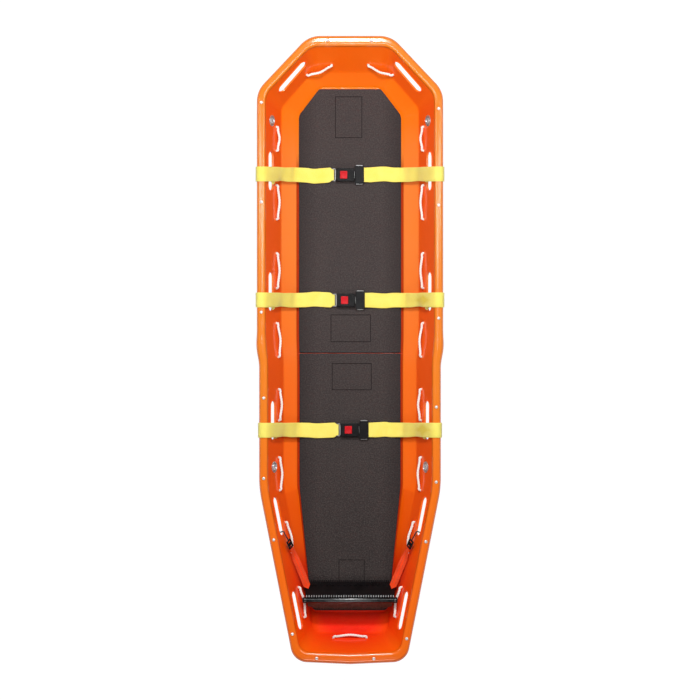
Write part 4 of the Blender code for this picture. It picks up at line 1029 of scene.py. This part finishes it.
def make_footrest():
    half = edge_x(REST_Y) - BAR_INSET
    right = [(0.01035, half - 0.0124), (0.0105, half - 0.012), (0.0105, half - 0.0018),
             (0.0098, half - 0.0006), (0.0085, half), (0.0002, half)]
    profile = [(r, -h) for r, h in reversed(right)] + right
    turn = Matrix(((0, 0, 1), (1, 0, 0), (0, 1, 0))).to_4x4()
    bar = lathe(profile, Matrix.Translation((0, REST_Y, REST_BAR_Z)) @ turn, 40)
    settle(piece("footrest_bar", bar, "tube", 40), "footrest")
    make_board()

    # The stand: a pocket in each bay, and two ribs between one bay and the next
    lean = STAND_RUN / math.hypot(STAND_RUN, REST_BAR_Z - MAT_TOP)
    at, height = panel_frame(-STAND_RUN, MAT_TOP + SEAT_GAP + lean * REST_PANEL / 2)
    half_top = edge_x(REST_Y) - STAND_INSET
    half_low = half_top - STAND_TAPER
    stand = panel("stand", half_low, half_top, at, height, "stand")
    bays = 6
    pockets = bmesh.new()
    for i in range(bays):
        x0 = -half_top + 2 * half_top * i / bays + 0.0085
        x1 = -half_top + 2 * half_top * (i + 1) / bays - 0.0085
        x0, x1 = max(x0, -half_low + 0.006), min(x1, half_low - 0.006)
        add_box(pockets, (x0, height * 0.16, REST_PANEL / 2 - 0.001), (x1, height * 0.9, REST_PANEL), at)
    cut(stand, pockets)
    ribs = bmesh.new()
    for i in range(1, bays):
        for side in (-1, 1):
            middle = 2 * half_top * (i / bays - 0.5) + side * 0.004
            add_box(ribs, (middle - 0.0013, height * 0.12, 0), (middle + 0.0013, height * 0.92, 0.0068), at)
    cut(stand, ribs, "UNION")
    bevel(stand, 0.0006)
    settle(stand, "footrest")

    # The gussets fill the space between the board, the stand and the bar
    front, back = BOARD_RUN / (REST_BAR_Z - BOARD_LOW_Z), STAND_RUN / (REST_BAR_Z - MAT_TOP)
    clear = REST_PANEL / 2 + SEAT_GAP
    top, low = REST_BAR_Z - REST_BAR_RADIUS - 0.009, 0.064
    outline = [(REST_Y + (REST_BAR_Z - z) * front - clear * math.hypot(1, front), z) for z in (top, low)]
    outline += [(REST_Y - (REST_BAR_Z - z) * back + clear * math.hypot(1, back), z) for z in (low, top)]
    for name, side in SIDES:
        block = prism(outline, Matrix.Translation((side * (half_top - 0.012), 0, 0)) @ turn, REST_PANEL)
        gusset = piece("footrest_gusset_" + name, block, "plastic")
        bevel(gusset, 0.0007)
        settle(gusset, "footrest")


def make_foot_straps():
    """Webbing with a pointed, sewn end, a ladder-lock and a wire hook on each side."""
    for name, side in SIDES:
        place, normal = side_place(side, SLOT_STATIONS[3] - SLOT_LENGTH * 0.4, SLOT_INSET)
        start = place + normal * 0.012
        half = edge_x(REST_Y) - BOARD_INSET - 0.01
        board = Vector((side * half, REST_Y + BOARD_RUN * 0.58,
                        BOARD_LOW_Z + (REST_BAR_Z - BOARD_LOW_Z) * 0.42 + 0.005))
        lock = start.lerp(board, 0.22)
        way = (board - start).normalized()
        up = (normal - way * normal.dot(way)).normalized()
        across = up.cross(way)
        at = Matrix.Translation(lock) @ Matrix((way, across, up)).transposed().to_4x4()
        make_ladder_lock(name, at)

        inner = place + normal * 0.0062
        outer = place - normal * (WALL + 0.0022 + ROPE_CLEARANCE)
        end = lock - way * 0.015
        tail = outer - (end - place).normalized() * 0.01
        route = [end, end.lerp(inner, 0.5), inner, place - normal * WALL / 2, outer, tail]
        bm = bmesh.new()
        add_tube(bm, smooth_line(route, 0.0012), 0.0021, 12)
        settle(piece("foot_hook_" + name, bm, "wire", 60), "hull")

        make_foot_webbing(name, lock + way * 0.0156, board, way, across)


def make_ladder_lock(name, at):
    lock = piece("foot_buckle_" + name, plate(0.03, 0.033, 0.003, at, 0.0044), "plastic")
    bevel(lock, 0.0011, 3)
    apply_modifiers(lock)
    windows = bmesh.new()
    for x in (-0.0078, 0.0078):
        shape = [(x + dx, dy) for dx, dy in rounded_rectangle(0.0056, 0.026, 0.001)]
        add_prism(windows, shape, at, 0.02)
    cut(lock, windows)
    weigh_normals(lock)
    settle(lock, "hull")


def make_foot_webbing(name, first, board, way, across):
    """Webbing from the ladder-lock to the board, turning to lie flat, with a zigzag and two seams."""
    width, point, thickness = 0.0248, 0.012, 0.0017
    reach = (board - first).length
    flat = way.cross(Vector((0, 0, 1))).normalized()
    flat *= math.copysign(1, flat.dot(across))

    def lay(t):
        """The strap's middle, width direction and face direction."""
        turn = min(1, t / 0.4)
        wide = across.lerp(flat, 0.9 * turn * turn * (3 - 2 * turn)).normalized()
        wide = (wide + way.cross(wide) * 0.06 * math.sin(t * 11)).normalized()
        face = way.cross(wide)
        wave = 0.0008 * math.sin(t * 19) - 0.0012 * math.sin(math.pi * t)
        return first.lerp(board, t) + face * wave, wide, face

    bm = bmesh.new()
    points, ways, widths = [], [], []
    count = 60  # lengths that the webbing is divided into
    for i in range(count + 1):
        middle, wide, face = lay(i / count)
        points.append(middle)
        ways.append(wide)
        left_over = reach * (1 - i / count)
        widths.append(width if left_over > point else max(0.0012, width * left_over / point))
    add_ribbon(bm, points, ways, widths, thickness)
    stitches, sewn_from, stitch_step = 46, 0.03, 0.019
    zigzag_out, seam_out = 0.0058, 0.0108
    zigzag_end = 0.88
    for k in range(stitches):
        t = sewn_from + stitch_step * k
        middle, wide, face = lay(t)
        middle = middle + face * (thickness / 2 + 0.0003)
        if t < zigzag_end:
            zigzag = way * 0.55 + wide * (1 if k % 2 else -1)
            places = [(middle + wide * s, zigzag) for s in (zigzag_out, -zigzag_out)]
            add_stitches(bm, places, face, 0.0056, 0.0006)
        places = [(middle + wide * s, way) for s in (seam_out, -seam_out)]
        add_stitches(bm, places, face, 0.0034, 0.0004)
    strap = piece("foot_strap_" + name, bm, "orange_web orange_thread", 60)
    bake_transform(strap)
    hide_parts(f"foot_strap_{name}")


# Materials: every colour, roughness and relief comes from procedural nodes

def linear(colour):
    """A screen colour, 0 to 255, as a linear one; anything else stays as it is."""
    if not isinstance(colour, tuple) or len(colour) != 3:
        return colour
    shares = [v / 255 for v in colour]
    return (*(v / 12.92 if v <= 0.04045 else ((v + 0.055) / 1.055) ** 2.4 for v in shares), 1)


class Look:
    """A material being built: its tree, its shader and shortcuts for nodes."""

    def __init__(self, name, roughness, metallic=0, **settings):
        self.mat = bpy.data.materials.new(name)
        self.mat.use_nodes = True
        self.tree = self.mat.node_tree
        self.shader = self.tree.nodes["Principled BSDF"]
        settings.update(Roughness=roughness, Metallic=metallic)
        for key, value in settings.items():
            self.shader.inputs[key.replace("_", " ")].default_value = value
        self.place = self.node("TexCoord").outputs["Object"]

    def node(self, kind, inputs=None, **settings):
        made = self.tree.nodes.new("ShaderNode" + kind)
        for key, value in settings.items():
            setattr(made, key, value)
        for key, value in (inputs or {}).items():
            if isinstance(value, bpy.types.NodeSocket):
                self.tree.links.new(value, made.inputs[key])
            else:
                made.inputs[key].default_value = value
        return made

    def noise(self, scale, detail=3, place=None, roughness=0.5):
        inputs = {"Vector": place or self.place, "Scale": scale, "Detail": detail, "Roughness": roughness}
        return self.node("TexNoise", inputs).outputs["Fac"]

    def axes(self, vector):
        """The vector's X, Y and Z."""
        return self.node("SeparateXYZ", {"Vector": vector}).outputs

    def compute(self, operation, *values):
        return self.node("Math", dict(enumerate(values)), operation=operation).outputs[0]

    def stretch(self, scale, place=None):
        inputs = {0: place or self.place, 1: scale}
        return self.node("VectorMath", inputs, operation="MULTIPLY").outputs["Vector"]

    def distance(self, a, b):
        return self.node("VectorMath", {0: a, 1: b}, operation="DISTANCE").outputs["Value"]

    def weave(self):
        return self.node("UVMap", uv_map="weave").outputs["UV"]

    def ramp(self, fac, low, high):
        made = self.node("ValToRGB", {"Fac": fac})
        for element, position, colour in zip(made.color_ramp.elements, (0.3, 0.7), (low, high)):
            element.position = position
            element.color = linear(colour)
        return made.outputs["Color"]

    def span(self, fac, low, high, start=0.3, end=0.7):
        """From low to high while fac goes from start to end."""
        return self.node("MapRange", {"Value": fac, "From Min": start, "From Max": end,
                                                "To Min": low, "To Max": high}).outputs["Result"]

    def mix(self, fac, a, b):
        return self.node("Mix", {0: fac, 6: linear(a), 7: linear(b)}, data_type="RGBA").outputs[2]

    def tint(self, base, colour, *mask):
        """The base with a colour over it, where the span that mask describes is high."""
        return self.mix(self.span(*mask), base, colour)

    def bump(self, height, distance, strength=1, normal=None):
        inputs = {"Height": height, "Distance": distance, "Strength": strength}
        if normal is not None:
            inputs["Normal"] = normal
        return self.node("Bump", inputs).outputs["Normal"]

    def finish(self, *sockets):
        for name, socket in zip(("Base Color", "Roughness", "Normal"), sockets):
            self.tree.links.new(socket, self.shader.inputs[name])
        return self.mat


# Painted shadow: behind the footrest and beside it the hull is painted a deeper red, as the footrest's shade;
# Y of the second is stretched by 1.6
REST_SHADE = (0, -0.89, 0.03)
WALL_SHADE = (0, -0.8 * 1.6, 0.03)


def hull_look():
    look = Look("orange_hull", 0.24, Specular_IOR_Level=0.5)
    cloud = look.noise(7, 4)
    grain = look.noise(520, 2)
    _, along, height = look.axes(look.place)
    # Painted sheen: the slope is painted paler from about mid length toward the head, as a soft reflection of
    # the light there, and stays deeper orange at the foot and at the head end.
    slope = look.tint((252, 100, 12), (238, 136, 62), along, 0, 1, -0.55, 0.35)
    slope = look.tint(slope, (250, 118, 14), along, 0, 1, 0.62, 0.8)
    slope = look.tint(slope, (252, 132, 34), cloud, 0, 0.25, 0.35, 0.65)
    # Painted shade: steep walls are painted a redder orange, as they look where the light only grazes them.
    steep = look.axes(look.node("NewGeometry").outputs["Normal"])[2]
    base = look.tint(slope, (255, 76, 0), steep, 0.85, 0, 0.4, 0.88)
    # Painted shade: the flat floor beside the mat is painted a deep red, as the shade between the mat and the
    # slope, except toward the head.
    low = look.span(height, 1, 0, 0.0272, 0.03)
    low = look.compute("MULTIPLY", low, look.span(steep, 0, 0.9, 0.5, 0.7))
    low = look.compute("MULTIPLY", low, look.span(along, 1, 0, 0.58, 0.68))
    base = look.mix(low, base, (176, 14, 10))
    # Painted shadow: the floor round the footrest is painted deep red, as the footrest's shadow.
    base = look.tint(base, (250, 14, 10), look.distance(look.place, REST_SHADE), 1, 0, 0.1, 0.25)
    # Painted shade: the steep walls beside the footrest are painted a deep red, as the shade there.
    near = look.span(look.distance(look.stretch((1, 1.6, 1)), WALL_SHADE), 0.85, 0, 0.16, 0.3)
    near = look.compute("MULTIPLY", near, look.span(steep, 1, 0, 0.5, 0.7))
    base = look.mix(near, base, (240, 20, 10))
    # Painted light: the rim's top is painted a paler, yellower orange where it faces the light, and redder
    # toward the foot, where less light falls.
    rim = look.tint((240, 104, 16), (226, 122, 30), along, 0, 1, -0.75, -0.2)
    base = look.tint(base, rim, height, 0, 0.85, 0.172, 0.182)
    base = look.tint(base, (255, 146, 30), grain, 0, 0.12)
    scuff = look.noise(38, 6, look.stretch((1, 0.12, 1)), 0.7)
    base = look.tint(base, (252, 150, 60), scuff, 0, 0.1, 0.62, 0.8)
    rough = look.span(look.noise(60, 5), 0.13, 0.22)
    peel = look.bump(look.noise(260, 3), 0.00004)
    return look.finish(base, rough, look.bump(grain, 0.00002, normal=peel))


def foam_look():
    look = Look("black_foam", 0.92, Specular_IOR_Level=0.2)
    speck = look.noise(850, 2)
    blot = look.noise(230, 2)
    cells = look.node("TexVoronoi", {"Vector": look.place, "Scale": 620}).outputs["Distance"]
    across, along, height = look.axes(look.place)
    # Painted shade: the mat darkens toward the foot, as the light falls off.
    base = look.tint((5, 4, 5), (46, 41, 42), along, 0, 1, -0.9, 0.2)
    base = look.tint(base, (92, 84, 82), speck, 0, 0.45, 0.35, 0.7)
    base = look.tint(base, (96, 88, 86), blot, 0, 0.35, 0.4, 0.75)
    base = look.tint(base, (22, 19, 20), cells, 0.35, 0, 0, 0.35)
    base = look.tint(base, (74, 65, 62), look.noise(9, 5), 0, 0.18)
    # Painted shade: the mat is painted darker near its sides, beside the walls.
    base = look.tint(base, (26, 24, 26), look.compute("ABSOLUTE", across), 0, 0.45, 0.11, 0.176)
    # Painted shade: the mat's sides, below its rounded top edge, are painted near black, as the shade between
    # mat and slope.
    base = look.tint(base, (6, 5, 6), height, 0.9, 0, 0.0315, 0.033)
    rough = look.span(look.noise(140), 0.82, 0.96)
    return look.finish(base, rough, look.bump(speck, 0.0005, 0.8, look.bump(cells, 0.0004, 0.7)))


FOLD_SHADE_X = 0.25  # where the straps fold at the right wall, painted a deeper yellow there as shade


def web_look(name, light, dark, gap, sheen=0.25):
    """Herringbone webbing, from UVs in metres along and across the strap."""
    look = Look(name, 0.72, Specular_IOR_Level=0.35, Sheen_Weight=sheen, Sheen_Roughness=0.5)
    run, width, _ = look.axes(look.weave())
    across = look.compute("ABSOLUTE", width)
    slant = look.compute("ADD", run, look.compute("PINGPONG", across, 0.0055))
    rib = look.span(look.compute("PINGPONG", slant, 0.00095), 0, 1, 0, 0.00095)
    warp = look.span(look.compute("PINGPONG", width, 0.0006), 0, 1, 0, 0.0006)
    base = look.mix(rib, dark, light)
    base = look.tint(base, gap, warp, 0.22, 0, 0, 0.5)
    base = look.tint(base, dark, across, 0, 0.35, 0.0235, 0.025)
    base = look.tint(base, gap, look.noise(24, 5), 0, 0.3)
    # Painted shade: near the fold at the right wall the webbing is painted a deeper yellow.
    x, y, _ = look.axes(look.place)
    reach = look.compute("ABSOLUTE", look.compute("SUBTRACT", x, FOLD_SHADE_X))
    reach = look.compute("MULTIPLY_ADD", reach, 0.8, across)
    reach = look.compute("MULTIPLY_ADD", look.noise(60, 3), 0.016, reach)
    reach = look.compute("ADD", look.span(y, 0, 0.03, 0.3, 0.45), reach)
    base = look.tint(base, gap, reach, 0.75, 0, 0.02, 0.034)
    rough = look.span(look.noise(90), 0.62, 0.82)
    return look.finish(base, rough, look.bump(rib, 0.00035, 0.8, look.bump(warp, 0.0002, 0.7)))


def thread_look(name, light, dark):
    look = Look(name, 0.6, Specular_IOR_Level=0.4)
    twist = look.noise(2600, 2)
    return look.finish(look.ramp(twist, dark, light), look.span(twist, 0.5, 0.75), look.bump(twist, 0.0001))


def rope_look():
    look = Look("white_rope", 0.78, Specular_IOR_Level=0.3, Sheen_Weight=0.3)
    fibre = look.noise(1, 4, look.stretch((260, 1900, 1), look.weave()), 0.6)
    base = look.ramp(fibre, (222, 218, 210), (255, 254, 250))
    base = look.tint(base, (214, 178, 150), look.noise(16, 5), 0, 0.25, 0.5, 0.8)
    return look.finish(base, look.span(fibre, 0.65, 0.88), look.bump(fibre, 0.00035))


def metal_look(name, colour, rough, scratch, metallic=1):
    look = Look(name, rough, metallic)
    lines = look.noise(90, 6, look.stretch((1, 14, 3)), 0.75)
    base = look.ramp(look.noise(45, 4), [c * 0.86 for c in colour] + [1], (*colour, 1))
    return look.finish(base, look.span(lines, rough, rough + scratch), look.bump(lines, 0.00004, 0.6))


def plastic_look(name, dark, light, rough, grain=900, depth=0.00008, shine=0.5):
    look = Look(name, rough, Specular_IOR_Level=shine)
    base = look.ramp(look.noise(30, 5), dark, light)
    base = look.tint(base, (120, 116, 112), look.noise(75, 7, None, 0.75), 0, 0.12, 0.6, 0.78)
    roughness = look.span(look.noise(110, 4), rough - 0.07, rough + 0.12)
    return look.finish(base, roughness, look.bump(look.noise(grain, 2), depth, 0.8))


MATS = {
    "hull": hull_look(),
    "foam": foam_look(),
    "rope": rope_look(),
    "webbing": web_look("yellow_webbing", (250, 240, 138), (246, 229, 88), (234, 208, 14)),
    "thread": thread_look("yellow_thread", (255, 250, 140), (236, 216, 40)),
    "orange_web": web_look("orange_webbing", (255, 92, 18), (255, 52, 6), (214, 30, 4), 0),
    "orange_thread": thread_look("orange_thread", (250, 110, 60), (170, 40, 16)),
    "chrome": metal_look("eyelet_chrome", (0.72, 0.73, 0.74), 0.2, 0.16, 0.85),
    "steel": metal_look("bright_steel", (0.3, 0.3, 0.3), 0.42, 0.18, 0.9),
    "rivet": metal_look("rivet_steel", (0.9, 0.89, 0.87), 0.22, 0.2, 0.6),
    "aluminium": metal_look("tube_aluminium", (0.74, 0.75, 0.76), 0.32, 0.16),
    "plastic": plastic_look("black_plastic", (7, 7, 9), (18, 17, 19), 0.36, shine=0.15),
    "tube": plastic_look("black_tube", (6, 8, 10), (16, 19, 22), 0.16, 1400, 0.00003),
    "wire": plastic_look("black_wire", (14, 14, 14), (36, 34, 33), 0.34, 1600, 0.00005),
    # Painted highlight: the comb ribs are pale grey, standing in for glints on the black board's teeth.
    "comb": plastic_look("glint_painted_plastic", (150, 158, 162), (206, 214, 216), 0.3),
    "stand": plastic_look("grey_plastic", (56, 53, 46), (80, 76, 66), 0.4, shine=0.3),
    "red": plastic_look("red_plastic", (186, 4, 18), (210, 8, 26), 0.4, 1200, 0.00004, 0.2),
}


# The object

make_hull()
make_eyelets()
make_rivets()
make_rope()
make_mats()
make_straps()
make_footrest()
make_foot_straps()
tube_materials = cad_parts["rim_tube"].data.materials
tube_materials.clear()
tube_materials.append(MATS["aluminium"])


# The studio: a white floor, a soft light above it, and thin strips for the rim's long highlights

def floor_look():
    """Grey to the light that falls on the object, white to the camera, with the shadows on it."""
    look = Look("studio_floor", 0.9)
    path = look.node("LightPath").outputs
    seen = look.compute("MAXIMUM", path["Is Camera Ray"], path["Is Glossy Ray"])
    seen = look.compute("MAXIMUM", seen, path["Is Transmission Ray"])
    look.finish(look.ramp(look.noise(3), (0.8, 0.8, 0.8, 1), (0.84, 0.84, 0.84, 1)))
    glow = look.node("Emission", {"Color": (1, 1, 1, 1), "Strength": 0.97})
    faint = look.node("BsdfDiffuse", {"Color": (0.1, 0.1, 0.1, 1)})
    both = look.node("AddShader", {0: faint.outputs[0], 1: glow.outputs[0]})
    pick = look.node("MixShader", {0: seen, 1: look.shader.outputs[0], 2: both.outputs[0]})
    look.tree.links.new(pick.outputs[0], look.tree.nodes["Material Output"].inputs["Surface"])
    return look.mat


def add_light(name, size, place, aim, power):
    light = bpy.data.lights.new(name, "AREA")
    light.shape = "RECTANGLE"
    light.size, light.size_y = size
    light.energy = power
    obj = bpy.data.objects.new(name, light)
    bpy.context.scene.collection.objects.link(obj)
    obj.location = place
    obj.rotation_euler = (Vector(aim) - Vector(place)).to_track_quat("-Z", "Y").to_euler()
    obj.visible_camera = False


floor_mesh = bmesh.new()
bmesh.ops.create_grid(floor_mesh, x_segments=1, y_segments=1, size=30)
floor = add_object("studio_floor_sheet", floor_mesh, [floor_look()])
floor.location.z = -0.0006  # just under the runners

add_light("left_box", (0.2, 2.6), (-1.1, 0.65, 2.6), (0, 0.3, 0.1), 24)
add_light("right_box", (0.2, 2.6), (1.1, 0.65, 2.6), (0, 0.3, 0.1), 24)
add_light("head_box", (0.5, 0.5), (0, 2.2, 3.4), (0, 0, 0.1), 96)
add_light("foot_box", (0.9, 0.6), (0, -2.6, 2.8), (0, -0.7, 0.1), 26)

world = bpy.data.worlds.new("studio")
bpy.context.scene.world = world
world.use_nodes = True
background = world.node_tree.nodes["Background"].inputs
background["Color"].default_value = (1, 1, 1, 1)
background["Strength"].default_value = 0.12

# Straight above, far off, with a lens that shows 700 pixels of the photograph's scale
CAMERA_DISTANCE = 30
SENSOR = 36
scene = bpy.context.scene
camera_data = bpy.data.cameras.new("photo_camera")
camera_data.sensor_width = SENSOR
camera_data.lens = CAMERA_DISTANCE * SENSOR / (700 * PIXEL)
camera = bpy.data.objects.new("photo_camera", camera_data)
scene.collection.objects.link(camera)
camera.location = (0, 0, DEPTH + CAMERA_DISTANCE)
scene.camera = camera
scene.view_settings.view_transform = "Standard"
